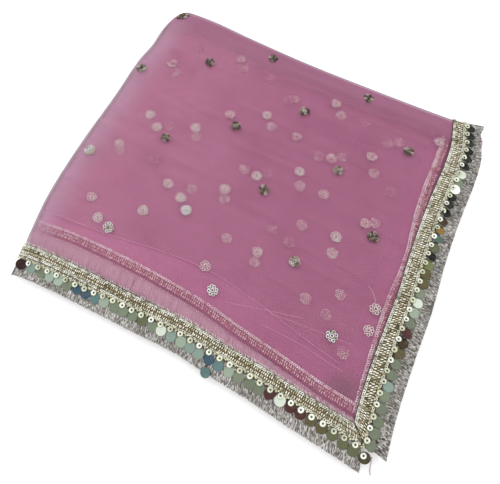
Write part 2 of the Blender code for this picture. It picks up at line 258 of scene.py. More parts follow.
LEFT_REACH, LEFT_HALF_HEIGHT, LEFT_ROLL_END = 0.0080, 0.0073, -74.0
CORE_TOP = 0.0112
FOLDS = 14
FOLD_INSET = 0.0024         # of the upper folds, inside the top ply's side edge and left roll
STRAY, STRAY_LIMIT = 0.00045, 0.0004
FOLD_EDGE = ((0.04, 0.00085), (0.18, 0.00028), (0.5, 0.0), (0.82, 0.00028))  # share up, inset
CROWN = (                   # share of the plan, share of the height
    (0.985, 0.75), (0.96, 0.95), (0.9, 1.0), (0.8, 1.02), (0.74, 1.04), (0.7, 1.065), (0.55, 1.07),
    (0.4, 1.07), (0.25, 1.07), (0.1, 1.07),
)
chance = np.random.default_rng(11)


def read(rows, at):
    """Read a short table at places, on a smooth curve through its rows."""
    places, values = np.array(rows).T
    slopes = np.empty(len(places))
    slopes[1:-1] = (values[2:] - values[:-2]) / (places[2:] - places[:-2])
    slopes[0] = (values[1] - values[0]) / (places[1] - places[0])
    slopes[-1] = (values[-1] - values[-2]) / (places[-1] - places[-2])
    at = np.asarray(at, float)
    k = np.clip(np.searchsorted(places, at) - 1, 0, len(places) - 2)
    span = places[k + 1] - places[k]
    t = np.clip((at - places[k]) / span, 0.0, 1.0)
    inside = (
        values[k] * (1 + 2 * t) * (1 - t) ** 2 + values[k + 1] * t * t * (3 - 2 * t)
        + span * (slopes[k] * t * (1 - t) ** 2 - slopes[k + 1] * t * t * (1 - t))
    )
    return (
        inside + slopes[0] * np.minimum(at - places[0], 0.0)
        + slopes[-1] * np.maximum(at - places[-1], 0.0)
    )


def outline(side, side_gap, far_gap, left_gap):
    """The plan outline of one hidden fold, with rounded corners, counter-clockwise."""
    def left_x(y):
        return read(LEFT_FOLD, y) + left_gap

    def right_x(y):
        return read(side, y) - side_gap

    def front_y(x):
        return read(FRONT_EDGE, x) + 0.0016

    def far_y(x):
        return read(FAR_FOLD, x) - far_gap

    corners = []
    for x_of, y_of in ((left_x, front_y), (right_x, front_y), (right_x, far_y), (left_x, far_y)):
        x = y = 0.0
        for _ in range(6):
            x, y = x_of(y), y_of(x)
        corners.append((float(x), float(y)))
    (x0, y0), (x1, y1), (x2, y2), (x3, y3) = corners
    shares = np.linspace(0.0, 1.0, 72, endpoint=False)
    front_x, side_y = x0 + shares * (x1 - x0), y1 + shares * (y2 - y1)
    back_x, left_y = x2 + shares * (x3 - x2), y3 + shares * (y0 - y3)
    points = np.vstack([
        np.column_stack([front_x, front_y(front_x)]), np.column_stack([right_x(side_y), side_y]),
        np.column_stack([back_x, far_y(back_x)]), np.column_stack([left_x(left_y), left_y]),
    ])
    for _ in range(5):
        points = (np.roll(points, 1, 0) + points * 2 + np.roll(points, -1, 0)) / 4
    return points


def outward(points):
    along = np.roll(points, -1, 0) - np.roll(points, 1, 0)
    ways = np.column_stack([along[:, 1], -along[:, 0]])
    return ways / np.linalg.norm(ways, axis=1, keepdims=True)


def wander(count, size, terms=5):
    """A smooth closed wobble round a loop, drawn at random."""
    angle = np.linspace(0.0, 2 * math.pi, count, endpoint=False)
    wave = np.zeros(count)
    for k in range(1, terms + 1):
        wave += chance.normal() * np.sin(k * angle + chance.uniform(0.0, 6.3)) / math.sqrt(k)
    return size * wave / math.sqrt(terms)


def mesh_of(name, points, faces):
    mesh = bpy.data.meshes.new(name)
    mesh.from_pydata([tuple(map(float, point)) for point in points], [], faces)
    mesh.update()
    return mesh


def bands(rings, width, first=0):
    """The faces between rings of points that have one width, from the first point on."""
    faces = []
    for k in range(rings - 1):
        low, high = first + k * width, first + (k + 1) * width
        for m in range(width):
            n = (m + 1) % width
            faces.append((low + m, low + n, high + n, high + m))
    return faces


def set_values(mesh, name, values, kind="FLOAT", field="value"):
    """Keep one value for each point of a mesh, for its finish to read."""
    layer = mesh.attributes.get(name) or mesh.attributes.new(name, kind, "POINT")
    layer.data.foreach_set(field, np.ascontiguousarray(values, np.float32).ravel())


def put(name, mesh, material, slot, *nodes):
    """Show a mesh as a piece on the pack, with its finish, in place of CAD nodes."""
    if material is not None:
        mesh.materials.clear()
        mesh.materials.append(material)
    mesh.shade_smooth()
    thing = bpy.data.objects.new(name, mesh)
    bpy.context.scene.collection.objects.link(thing)
    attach(thing, "root")
    if nodes:
        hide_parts(*nodes)
    return thing


fold_height = CORE_TOP / FOLDS
loops = []
for fold in range(FOLDS):
    low = fold < FOLDS // 2
    height = (fold + 0.5) * fold_height
    from_middle = (height - CLOTH_TOP + LEFT_HALF_HEIGHT) / LEFT_HALF_HEIGHT
    round_left = LEFT_REACH * (1 - math.sqrt(max(1 - from_middle ** 2, 0.0)))
    plan = outline(
        LOWER_FOLD if low else SIDE_EDGE, 0.0 if low else FOLD_INSET,
        0.0006 if fold >= FOLDS - 4 else 0.0003, round_left + FOLD_INSET,
    )
    ways = outward(plan)
    stray = np.minimum(wander(len(plan), STRAY), STRAY_LIMIT) - STRAY_LIMIT
    for level, inset in FOLD_EDGE:
        if fold == FOLDS - 1 and level > 0.5:
            continue
        ring = plan + ways * (stray - inset)[:, None]
        loops.append(np.column_stack([ring, np.full(len(ring), (fold + level) * fold_height)]))
middle = loops[-1][:, :2].mean(0)
top = (FOLDS - 0.5) * fold_height
for share, rise in CROWN:
    height = top + (CORE_TOP - top) * min(rise, 1.0) + CORE_TOP * max(rise - 1.0, 0.0)
    loops.append(np.column_stack([middle + (plan - middle) * share, np.full(len(ring), height)]))
loops[0][:, 2] = 0.0
count = len(plan)
faces = bands(len(loops), count)
faces.append(tuple(range(count - 1, -1, -1)))
last = (len(loops) - 1) * count
faces.append(tuple(range(last, last + count)))
folded_net, tree, shader = finish("folded net", Roughness=0.62)
place = tree.spot()
broad = tree.noise(place, 9.0, 3.0)
leftward = tree.add("ShaderNodeSeparateXYZ", {}, {"Vector": place}) * -1.4
cool = tree.spread(broad * 0.5 + leftward + 0.02, 0.1, 0.5)
pink = tree.blend(cool, paint(156, 84, 122), paint(184, 108, 148))
streak = tree.add("ShaderNodeMapping", {}, {"Vector": place, "Scale": (60.0, 60.0, 900.0)})
fine = tree.noise(streak, 1.0, 3.0)
pink = tree.blend(tree.spread(fine, 0.3, 0.7) * 0.35, pink, paint(150, 76, 116))
corner_gap = tree.add("ShaderNodeVectorMath", {"operation": "DISTANCE"}, {
    0: place, 1: (0.1215, -0.1045, CORE_TOP),
}, "Value")
in_shade = tree.spread(corner_gap + broad * 0.01, 0.008, 0.026, 0.85, 0.0)
pink = tree.blend(in_shade, pink, paint(96, 66, 74))
# Paler towards the left and right walls of the pack: painted light, for the white floor seen through
# the few plies there and to lift the shade on the steep walls.
airy = tree.kept("airy")
tree.feed(shader, {
    "Base Color": tree.blend(airy, pink, paint(206, 176, 204)),
    "Normal": tree.bump(tree.noise(place, 1500.0), 0.0002),
})
points = np.vstack(loops)
mesh = mesh_of("folded_plies", points, faces)
from_left = points[:, 0] - read(LEFT_FOLD, points[:, 1])
from_right = read(LOWER_FOLD, points[:, 1]) - points[:, 0]
set_values(mesh, "airy", np.maximum(
    np.clip(1.1 - from_left / 0.012, 0, 0.9), np.clip(1.2 - from_right / 0.010, 0, 0.9),
))
folded_plies = put("folded_plies", mesh, folded_net, "net_inner", "inner_folds")


# The fringes of the plies below: tinsel threads, each a flat metal-coated strip 0.4 mm wide,
# caught in their own braids at several heights between the folds, and falling to the table.
FAR_REACH, FAR_HALF_HEIGHT, FAR_ROLL_END = 0.0035, 0.0040, 8.0
FRONT_SAG, SIDE_SAG = 0.0062, 0.0040
FRINGE_REACH, SIDE_REACH = 0.0140, 0.0156
FAN, FAN_RUN = 0.0040, 0.0250
THREAD, THREAD_STEPS = 0.00021, 5   # half a thread's width, and the pieces of its length
CURL, STRAGGLE = 0.0004, 0.0003
LOCK = 0.0025               # threads that lie together
NORMAL_STEP = 0.0004


def ease(low, high, at):
    """0 below low, 1 above high, and smooth between them."""
    t = np.clip((at - low) / (high - low), 0.0, 1.0)
    return t * t * (3 - 2 * t)


def wave(p, q):
    """The slack of the net: three soft swells, none below the flat."""
    u, v = p / FLAT_WIDTH, q / FLAT_LENGTH
    inside = ease(0.0, 0.25, u) * ease(0.0, 0.2, 1 - u) * ease(0.12, 0.3, v) * ease(0.0, 0.2, 1 - v)
    return 0.0007 * inside * (0.5 + 0.5 * np.sin(5.1 * u + 2.6 * v) * np.cos(6.3 * v - 2.2 * u))


def cloth(p, q):
    """The top ply's upper face: p runs across from the left fold, q back from the front edge."""
    left_turn = np.pi / 2 + np.minimum(p, 0.0) * 2 / (LEFT_REACH + LEFT_HALF_HEIGHT)
    left_turn = np.maximum(left_turn, math.radians(LEFT_ROLL_END))
    far_turn = np.pi / 2 - np.maximum(q - FLAT_LENGTH, 0.0) * 2 / (FAR_REACH + FAR_HALF_HEIGHT)
    far_turn = np.maximum(far_turn, math.radians(FAR_ROLL_END))
    inset = LEFT_REACH * (1 - np.cos(left_turn))
    back = FAR_REACH * (1 - np.cos(far_turn))
    x = y = np.zeros_like(p)
    for _ in range(5):
        near, far = read(FRONT_EDGE, x), read(FAR_FOLD, x)
        left, right = read(LEFT_FOLD, y), read(SIDE_EDGE, y)
        x = left + inset + np.maximum(p, 0.0) * (right - left - LEFT_REACH) / FLAT_WIDTH
        y = np.where(
            q > FLAT_LENGTH, far - back, near + q * (far - FAR_REACH - near) / FLAT_LENGTH,
        )
    left_drop = LEFT_HALF_HEIGHT * (1 - np.sin(left_turn))
    far_drop = FAR_HALF_HEIGHT * (1 - np.sin(far_turn))
    z = CLOTH_TOP + wave(p, q) - left_drop - far_drop * (1 - left_drop / (2 * LEFT_HALF_HEIGHT))
    z -= FRONT_SAG * (np.maximum(-q, 0.0) / FRINGE_REACH) ** 1.5
    z -= SIDE_SAG * (np.maximum(p - FLAT_WIDTH, 0.0) / FRINGE_REACH) ** 1.5
    return np.stack([x, y, z], -1)


def over(p, q, lift):
    """Places moved out from the top ply, or in where lift is below zero."""
    p, q, lift = np.broadcast_arrays(*(np.asarray(value, float) for value in (p, q, lift)))
    along = cloth(p + NORMAL_STEP, q) - cloth(p - NORMAL_STEP, q)
    back = cloth(p, q + NORMAL_STEP) - cloth(p, q - NORMAL_STEP)
    normal = np.cross(along, back)
    normal /= np.linalg.norm(normal, axis=-1, keepdims=True)
    return cloth(p, q) + normal * lift[..., None]


def tube(path, radius, sides, flat=1.0, closed=False, taper=1.0, swell=0.0):
    """A rod along a path of points, as points and faces; flat squashes it upwards."""
    path = np.asarray(path, float)
    if closed:
        along = np.roll(path, -1, 0) - np.roll(path, 1, 0)
    else:
        along = np.gradient(path, axis=0)
    along /= np.linalg.norm(along, axis=1, keepdims=True)
    aside = np.cross(along, (0.0, 0.0, 1.0))
    aside /= np.linalg.norm(aside, axis=1, keepdims=True)
    rise = np.cross(aside, along)
    angle = (np.arange(sides) + 0.5) * 2 * np.pi / sides
    size = radius * np.linspace(1.0, taper, len(path))
    size = size * (1 - swell + swell * np.sin(np.linspace(0.2, np.pi - 0.2, len(path))))
    round_it = np.cos(angle)[:, None] * aside[:, None] + flat * np.sin(angle)[:, None] * rise[:, None]
    points = (path[:, None] + size[:, None, None] * round_it).reshape(-1, 3)
    faces = []
    for k in range(len(path) if closed else len(path) - 1):
        following = (k + 1) % len(path)
        for m in range(sides):
            n = (m + 1) % sides
            faces.append((
                k * sides + m, following * sides + m, following * sides + n, k * sides + n,
            ))
    if not closed:
        faces.append(tuple(range(sides)))
        faces.append(tuple(range(len(points) - 1, len(points) - 1 - sides, -1)))
    return points, faces


def closed_mesh(name, points, faces):
    """A closed mesh with its faces outwards."""
    mesh = mesh_of(name, points, faces)
    form = bmesh.new()
    form.from_mesh(mesh)
    bmesh.ops.recalc_face_normals(form, faces=form.faces)
    form.to_mesh(mesh)
    form.free()
    return mesh


def unit(points, faces):
    """A shape to be repeated."""
    mesh = closed_mesh("unit", points, faces)
    mesh.shade_smooth()
    thing = bpy.data.objects.new("unit", mesh)
    bpy.context.scene.collection.objects.link(thing)
    return thing


def repeat_tree(name, in_line):
    """Copies of a unit along a line or on given points, each a little moved, turned and shrunk.

    Each copy keeps a random value, from 0 to 1, that its finish reads for painted glints and shade.
    """
    nodes = bpy.data.node_groups.new(name, "GeometryNodeTree")
    sizes = [("Unit", "Object"), ("Count", "Int"), ("Start", "Vector"), ("Pitch", "Float"),
             ("Stray", "Vector"), ("Turn", "Vector"), ("Shrink", "Float"), ("Seed", "Int"),
             ("Finish", "Material")]
    for label, kind in [("Points", "Geometry")] + sizes:
        nodes.interface.new_socket(name=label, in_out="INPUT", socket_type="NodeSocket" + kind)
    nodes.interface.new_socket(name="Copies", in_out="OUTPUT", socket_type="NodeSocketGeometry")
    tree = Tree(nodes)
    asked = tree.add("NodeGroupInput")
    if in_line:
        step = tree.add("ShaderNodeCombineXYZ", {}, {"X": asked.other("Pitch")})
        points = tree.add("GeometryNodeMeshLine", {"mode": "OFFSET"}, {
            "Count": asked.other("Count"), "Start Location": asked.other("Start"), "Offset": step,
        })
    else:
        points = asked.other("Points")

    def random_vector(salt):
        return tree.add("FunctionNodeRandomValue", {"data_type": "FLOAT_VECTOR"}, {
            0: (-1.0, -1.0, -1.0), 1: (1.0, 1.0, 1.0), "Seed": asked.other("Seed") + salt,
        })

    def scaled(first, second):
        return tree.add("ShaderNodeVectorMath", {"operation": "MULTIPLY"}, {0: first, 1: second})

    strayed = tree.add("GeometryNodeSetPosition", {}, {
        "Geometry": points, "Offset": scaled(random_vector(1), asked.other("Stray")),
    })
    copy = tree.add("GeometryNodeObjectInfo", {"transform_space": "ORIGINAL"}, {
        "Object": asked.other("Unit"),
    }).other("Geometry")
    share = tree.add("FunctionNodeRandomValue", {"data_type": "FLOAT"}, {
        "Seed": asked.other("Seed") + 3,
    }, 1)
    copies = tree.add("GeometryNodeInstanceOnPoints", {}, {
        "Points": strayed, "Instance": copy,
        "Rotation": scaled(random_vector(2), asked.other("Turn")),
        "Scale": 1 - share * asked.other("Shrink"),
    })
    tint = tree.add("FunctionNodeRandomValue", {"data_type": "FLOAT"}, {
        "Seed": asked.other("Seed") + 4,
    }, 1)
    tinted = tree.add(
        "GeometryNodeStoreNamedAttribute", {"data_type": "FLOAT", "domain": "INSTANCE"},
        {"Geometry": copies, "Name": "tint", "Value": tint},
    )
    real = tree.add("GeometryNodeRealizeInstances", {}, {"Geometry": tinted})
    dressed = tree.add("GeometryNodeSetMaterial", {}, {
        "Geometry": real, "Material": asked.other("Finish"),
    })
    tree.feed(nodes.nodes.new("NodeGroupOutput"), {0: dressed})
    return nodes


row_tree = repeat_tree("row of units", True)
scatter_tree = repeat_tree("scattered units", False)


def grow(nodes, shape, material, points=(), stray=(0, 0, 0), turn=(0, 0, 0), **sizes):
    """The plain mesh that a tree makes of a shape, with the tree's sizes set by their names."""
    original = unit(*shape)
    seeds = bpy.data.meshes.new("points")
    seeds.from_pydata([tuple(map(float, point)) for point in points], [], [])
    carrier = bpy.data.objects.new("carrier", seeds)
    bpy.context.scene.collection.objects.link(carrier)
    modifier = carrier.modifiers.new("grow", "NODES")
    modifier.node_group = nodes
    given = {"Unit": original, "Finish": material, "Stray": stray, "Turn": turn, **sizes}
    for socket in nodes.interface.items_tree:
        if socket.in_out == "INPUT" and socket.name in given:
            modifier[socket.identifier] = given[socket.name]
    graph = bpy.context.evaluated_depsgraph_get()
    mesh = bpy.data.meshes.new_from_object(carrier.evaluated_get(graph), depsgraph=graph)
    for spent in (carrier, original):
        bpy.data.objects.remove(spent)
    return mesh


def points_of(mesh):
    flat = np.empty(len(mesh.vertices) * 3)
    mesh.vertices.foreach_get("co", flat)
    return flat.reshape(-1, 3)


def move_points(mesh, points, mirrored=False):
    mesh.vertices.foreach_set("co", np.ascontiguousarray(points, np.float32).ravel())
    if mirrored:
        mesh.flip_normals()
    mesh.update()


def join(name, meshes):
    """Several meshes as one, with their materials and attributes."""
    parts = []
    for mesh in meshes:
        part = bpy.data.objects.new(name, mesh)
        bpy.context.scene.collection.objects.link(part)
        parts.append(part)
    with bpy.context.temp_override(
        active_object=parts[0], object=parts[0],
        selected_objects=parts, selected_editable_objects=parts,
    ):
        bpy.ops.object.join()
    mesh = parts[0].data
    bpy.data.objects.remove(parts[0])
    return mesh


def tinsel(material, place, start, end, count, reach, seed, levels, fans=(0.0, 0.0)):
    """A fringe: threads side by side and over each other, each with its own lean and curl.

    place(along, out, lift) gives a point; fans says how far the end threads lean outwards.
    """
    path = [(0.0, reach * k / THREAD_STEPS, 0.0) for k in range(THREAD_STEPS + 1)]
    mesh = grow(
        row_tree, tube(path, THREAD, 3, 0.6, taper=0.9), material,
        Count=count, Start=(start, 0.0, 0.0), Pitch=(end - start) / (count - 1), Seed=seed,
        stray=(0.0004, 0.0003, levels), turn=(0.0, 0.0, 0.035), Shrink=0.010,
    )
    points = points_of(mesh).reshape(count, -1, 3)
    set_values(mesh, "lay", points, "FLOAT_VECTOR", "vector")
    local = np.random.default_rng(seed)
    share = np.clip(points[..., 1] / reach, 0.0, 1.0)
    roots = np.linspace(start, end, count)[:, None]

    def draw(low, high):
        return local.uniform(low, high, (count, 1))

    def in_locks(low, high):
        """A value that changes from one lock of threads to the next."""
        locks = np.linspace(start, end, int((end - start) / LOCK))
        return np.interp(roots, locks, local.uniform(low, high, len(locks)))

    bend = CURL * in_locks(-1, 1) * np.sin(share * in_locks(1.0, 3.0))
    bend = bend + STRAGGLE * draw(-1, 1) * share
    bend = bend + share * fans[0] * (1 - ease(start, start + FAN_RUN, roots))
    bend = bend + share * fans[1] * ease(end - FAN_RUN, end, roots)
    points[..., 0] += bend
    points[..., 2] += 0.4 * CURL * draw(-1, 1) * np.sin(share * draw(2, 6)) * share
    move_points(mesh, place(*points.reshape(-1, 3).T), mirrored=True)
    return mesh


def tinsel_finish(name, dark, middle, bright, metal):
    """Metal-coated film: threads that lie together catch the light in short bright strokes, which are
    painted into its colour as glints and shade.
    """
    material, tree, shader = finish(name, Metallic=metal)
    lay = tree.kept("lay", "Vector")
    tint = tree.kept("tint")
    strokes = tree.add("ShaderNodeMapping", {}, {"Vector": lay, "Scale": (1500.0, 380.0, 60.0)})
    glint = tree.noise(strokes, 1.0, 2.0)
    patch = tree.noise(lay, 70.0, 1.0)
    tone = tree.spread(glint + tint * 0.10 + patch * 0.16, 0.42, 0.84)
    tree.feed(shader, {
        "Base Color": tree.ramp(tone, (0.05, dark), (0.5, middle), (0.95, bright)),
        "Roughness": tree.spread(glint, 0.3, 0.7, 0.45, 0.25),
    })
    return material


def below_front(along, out, lift):
    """Places on the stacked lower fringe of the front: lift says how high a thread is caught."""
    spot = cloth(along, 0.0013 - out)
    fall = np.minimum(0.0060, 0.0072 + lift - 0.0006)
    spot[:, 2] = 0.0074 + lift - fall * (np.clip(out, 0, None) / FRINGE_REACH) ** 1.5
    spot[:, 2] = np.maximum(spot[:, 2], 0.0003)
    return spot


def below_side(along, out, lift):
    spot = cloth(FLAT_WIDTH - 0.0021 + out, along)
    spot[:, 2] = 0.0104 + lift - 0.0026 * (np.clip(out, 0, None) / FRINGE_REACH) ** 1.5
    return spot


shaded_tinsel = tinsel_finish(
    "tinsel in shade", paint(104, 96, 92), paint(154, 146, 140), paint(206, 200, 192), 0.3,
)
for name, place, start, end, count, reach, seed, levels in (
    ("front", below_front, 0.0004, FLAT_WIDTH - 0.0030, 760, 0.0134, 21, 0.0036),
    ("side", below_side, 0.0040, FLAT_LENGTH - 0.0010, 620, 0.0150, 22, 0.0011),
):
    mesh = tinsel(shaded_tinsel, place, start, end, count, reach, seed, levels)
    put("lower_tinsel_" + name, mesh, None, "tinsel_lower", "lower_fringe_" + name)


# The second ply: the same net turned back face down under the top one, so its trims lie on its
# lower face and show through both plies. Its edges stand inside the top ply's.
PLY, SEAM = 0.0010, 0.0003
SECOND_FRONT = [            # p, inset
    (0.0000, 0.0220), (0.0500, 0.0238), (0.1000, 0.0236), (0.1500, 0.0196),
    (0.2000, 0.0158), (0.2450, 0.0130), (0.2820, 0.0118),
]
SECOND_SIDE = [             # q, inset
    (0.0000, 0.0030), (0.0300, 0.0036), (0.0600, 0.0046), (0.1000, 0.0066),
    (0.1400, 0.0042), (0.1800, 0.0080), (0.2300, 0.0100), (0.2700, 0.0080),
]
SECOND_LACE = 0.0105        # width of its braid
SECOND_DEPTH = PLY + SEAM
TULLE_PITCH = 0.0015        # from hole to hole of the net


def net_mesh(name, p, q, lift):
    """A single sheet of net over a grid of cloth coordinates, which its UV map keeps."""
    rows, columns = p.shape
    points = over(p, q, lift).reshape(-1, 3)
    faces = [
        (i * columns + j, (i + 1) * columns + j, (i + 1) * columns + j + 1, i * columns + j + 1)
        for i in range(rows - 1) for j in range(columns - 1)
    ]
    mesh = mesh_of(name, points, faces)
    weave = mesh.uv_layers.new(name="weave")
    corners = np.empty(len(mesh.loops), int)
    mesh.loops.foreach_get("vertex_index", corners)
    weave.data.foreach_set("uv", np.column_stack([p.ravel(), q.ravel()])[corners].ravel())
    return mesh


def net_finish(name, pale, pink, deep, hole, thread):
    """Tulle: fine threads round six-sided holes, in drifts of paler and redder pink.

    Several plies roll together round the folds, so the net is denser there; its colour there is
    painted light and shade.
    """
    material, tree, shader = finish(name, Roughness=0.5, Sheen_Weight=0.15, Sheen_Roughness=0.4)
    weave = tree.add("ShaderNodeTexCoord", output="UV")
    waver = tree.add("ShaderNodeVectorMath", {"operation": "SCALE"}, {
        0: tree.noise(weave, 30.0, 1.0).other("Color"), "Scale": 0.0022,
    })
    placed = tree.add("ShaderNodeVectorMath", {"operation": "ADD"}, {0: weave, 1: waver})
    turn = 2 * math.pi / TULLE_PITCH
    hexagon = 0
    for angle in (0.0, 60.0, 120.0):
        way = (turn * math.cos(math.radians(angle)), turn * math.sin(math.radians(angle)), 0.0)
        hexagon = hexagon + tree.add(
            "ShaderNodeVectorMath", {"operation": "DOT_PRODUCT"}, {0: placed, 1: way}, "Value",
        ).cosine()
    open_share = tree.spread(hexagon, -0.9, 1.4)
    drift = tree.noise(weave, 11.0, 2.0)
    cloud = tree.noise(placed, 26.0, 3.0)
    creases = tree.add("ShaderNodeMapping", {}, {
        "Vector": placed, "Rotation": (0.0, 0.0, 0.45), "Scale": (9.0, 120.0, 1.0),
    })
    crease = tree.noise(creases, 1.0, 2.0)
    across = tree.add("ShaderNodeSeparateXYZ", {}, {"Vector": weave})
    left_roll = tree.spread(across, -0.006, 0.024, 1.0, 0.0)
    left_rim = tree.spread(across, -0.0064, -0.0028, 1.0, 0.0)
    far_rim = tree.spread(across.other("Y"), FLAT_LENGTH - 0.0010, FLAT_LENGTH + 0.0008)
    far_roll = tree.spread(across.other("Y"), FLAT_LENGTH - 0.0240, FLAT_LENGTH - 0.0070)
    toward_right = tree.spread(across + drift * 0.08, 0.0, 0.24, 0.9, 0.1)
    colour = tree.blend(toward_right, pink, pale)
    colour = tree.blend(tree.spread(cloud, 0.45, 0.75, 0.0, 0.4), colour, deep)
    # Painted light and shade at the folds: the left roll paler, for the floor seen through; the rims
    # grey, for sheen; the far roll darker, for shade.
    for share, tone in (
        (left_roll * 0.8, (200, 158, 184)), (left_rim * 0.9, (132, 104, 120)),
        (far_roll * 0.9, (142, 82, 112)), (far_rim * 0.9, (140, 112, 132)),
    ):
        colour = tree.blend(share, colour, paint(*tone))
    cover = thread - open_share * (thread - hole) + tree.spread(crease, 0.35, 0.75, -0.04, 0.06)
    tree.feed(shader, {
        "Base Color": colour,
        "Alpha": cover + left_roll * 0.14 + left_rim * 0.36 + far_roll * 0.72,
        "Normal": tree.bump(open_share, 0.00012, 0.6),
    })
    return material


def second_front(p):
    """How far the second ply's front edge stands inside the top one's, at p across."""
    return read(SECOND_FRONT, np.maximum(p, 0.0))


def second_side(q):
    return read(SECOND_SIDE, q)


left_start = (math.radians(LEFT_ROLL_END) - math.pi / 2) * (LEFT_REACH + LEFT_HALF_HEIGHT) / 2
b, a = np.meshgrid(np.linspace(0.0, 1.0, 110), np.linspace(0.0, 1.0, 150))
p = q = np.zeros_like(a)
for _ in range(4):
    p = left_start + 0.0020 + a * (FLAT_WIDTH - second_side(q) - left_start - 0.0020)
    q = second_front(p) + b * (FLAT_LENGTH - 0.0012 - second_front(p))
inner_net = net_finish(
    "second net", paint(198, 132, 162), paint(176, 106, 140), paint(160, 88, 122), 0.05, 0.29,
)
mesh = net_mesh("second_net", p, q, -SECOND_DEPTH)
second_net = put("second_net", mesh, inner_net, "net_second", "second_ply")


# The third ply shows faintly under the second: the folded edge of its net runs slantwise over
# the pack, and its own sequin flowers glimmer through.
THIRD_FRONT = [             # p, q of its edge
    (0.0020, 0.0410), (0.0400, 0.0425), (0.0673, 0.0459), (0.0948, 0.0505), (0.1307, 0.0534),
    (0.1800, 0.0500), (0.2200, 0.0440), (0.2620, 0.0400),
]
THIRD_CREASES = (           # p, q of the fine creases near the corner
    ((0.1585, 0.0373), (0.1850, 0.0470), (0.2157, 0.0564)),
    ((0.1922, 0.0473), (0.2200, 0.0520), (0.2540, 0.0575)),
    ((0.1897, 0.0370), (0.2240, 0.0385), (0.2540, 0.0370)),
)
THIRD_DEPTH = 0.0020
p = left_start + 0.0040 + a * (FLAT_WIDTH - 0.0290 - left_start - 0.0040)
q = read(THIRD_FRONT, np.maximum(p, 0.0))
q = q + b * (FLAT_LENGTH - 0.0050 - q)
thick_net = net_finish(
    "third net", paint(192, 122, 154), paint(172, 100, 135), paint(158, 84, 120), 0.30, 0.60,
)
third_net = put("third_net", net_mesh("third_net", p, q, -THIRD_DEPTH), thick_net, "net_inner")
edge_p = np.linspace(0.0060, FLAT_WIDTH - 0.0320, 120)
lines = [np.column_stack([edge_p, read(THIRD_FRONT, edge_p)])]
steps = np.linspace(0.0, 1.0, 40)
for crease in THIRD_CREASES:
    across, back = np.array(crease).T
    lines.append(np.column_stack([
        np.interp(steps, (0, 0.5, 1), across), np.interp(steps, (0, 0.5, 1), back),
    ]))
hem_points, hem_faces = [], []
for line in lines:
    points, faces = tube(over(*line.T, 0.0002 - THIRD_DEPTH), 0.00022, 5, 0.5)
    hem_faces += [tuple(index + sum(map(len, hem_points)) for index in face) for face in faces]
    hem_points.append(points)
pale_hem = speckled("folded edge of net", 700.0, (196, 130, 165), (226, 176, 198), Roughness=0.5)
mesh = mesh_of("third_edge", np.vstack(hem_points), hem_faces)
put("third_edge", mesh, pale_hem, "net_inner")


# The braids of the second ply: gota seen from its back through two plies of net. Chain-stitched
# edges run on both sides of two rows of slanting zari stitches.
LINK_PITCH = 0.0017         # of the chain stitches
ZARI_PITCH = 0.0022         # of the slanting zari stitches


def chain_link(half_along, half_across, radius):
    angle = np.arange(10) * 2 * np.pi / 10
    path = np.column_stack([
        half_along * np.cos(angle), half_across * np.sin(angle), 0.0002 * np.sin(angle),
    ])
    return tube(path, radius, 4, closed=True)


def zari_stitch(span, lean, radius):
    """A plump stitch of zari, slantwise across its row."""
    t = np.linspace(-0.5, 0.5, 6)
    path = np.column_stack([lean * t, span * t, radius * 0.5 * np.cos(t * 3.0)])
    return tube(path, radius, 6, 0.75, swell=0.5)


def gota_finish(name, dark, gold, bright, metal):
    """Zari: a metal strip wound round a thread, so each strand is crossed by fine turns. Its bright
    and dark specks are painted highlights and painted shade.
    """
    material, tree, shader = finish(name, Metallic=metal)
    place = tree.spot()
    tint = tree.kept("tint")
    speck = tree.noise(place, 650.0, 2.0)
    patch = tree.noise(place, 60.0, 2.0)
    tone = tree.spread(speck * 0.7 + tint * 0.3 + patch * 0.25, 0.36, 0.86)
    tree.feed(shader, {
        "Base Color": tree.ramp(tone, (0.0, dark), (0.4, gold), (0.85, bright)),
        "Roughness": tree.spread(speck, 0.3, 0.7, 0.42, 0.24),
        "Normal": tree.bump(tree.noise(place, 2600.0), 0.00015),
    })
    return material


def gota(place, length, seed, rows, mirrored):
    """The rows of one braid: each is a finish, a shape, its middle, lift, pitch and stray."""
    made = []
    for k, (material, shape, middle, lift, pitch, stray) in enumerate(rows):
        count = int(length[1] / pitch) - int(length[0] / pitch)
        mesh = grow(
            row_tree, shape, material, Count=count, Start=(length[0] + pitch / 2, middle, lift),
            Pitch=pitch, Seed=seed + 10 * k, stray=(stray, stray, stray / 2),
            turn=(0.1, 0.1, 0.16), Shrink=0.1,
        )
        points = points_of(mesh)
        move_points(mesh, place(*points.T), mirrored)
        made.append(mesh)
    return made


def ribbon(material, place, start, end, inner, outer, low, high, count):
    """A flat woven tape with closed edges, between two lifts."""
    along = np.linspace(start, end, count)
    profile = [
        (inner, low), (inner, high), ((inner + outer) / 2, high), (outer, high), (outer, low),
    ]
    points = [(at, out, lift) for at in along for out, lift in profile]
    width = len(profile)
    faces = bands(count, width)
    faces.append(tuple(range(width)))
    faces.append(tuple(range(count * width - 1, count * width - width - 1, -1)))
    mesh = closed_mesh("ribbon", place(*np.array(points).T), faces)
    mesh.attributes.new("tint", "FLOAT", "POINT")
    mesh.materials.append(material)
    return mesh


under_gold = gota_finish(
    "gota from its back", paint(150, 70, 84), paint(226, 176, 168), paint(255, 240, 226), 0.0,
)
edge_silver = gota_finish(
    "braid edge from its back",
    paint(190, 120, 138), paint(252, 226, 224), paint(255, 255, 255), 0.0,
)
# The tape is painted dark: painted shade in the gaps between the braid's stitches.
under_tape_in_painted_shade = speckled(
    "back of the braid's tape", 900.0, (106, 38, 66), (140, 66, 92), Roughness=0.6,
)
UNDER = PLY + SECOND_DEPTH + SEAM


def under_front(along, out, lift):
    """Places on the second ply's front trim, which faces down, outwards from its inner edge."""
    return over(along, second_front(along) + SECOND_LACE - out, -UNDER - lift)


def under_side(along, out, lift):
    return over(FLAT_WIDTH - second_side(along) - SECOND_LACE + out, along, -UNDER - lift)


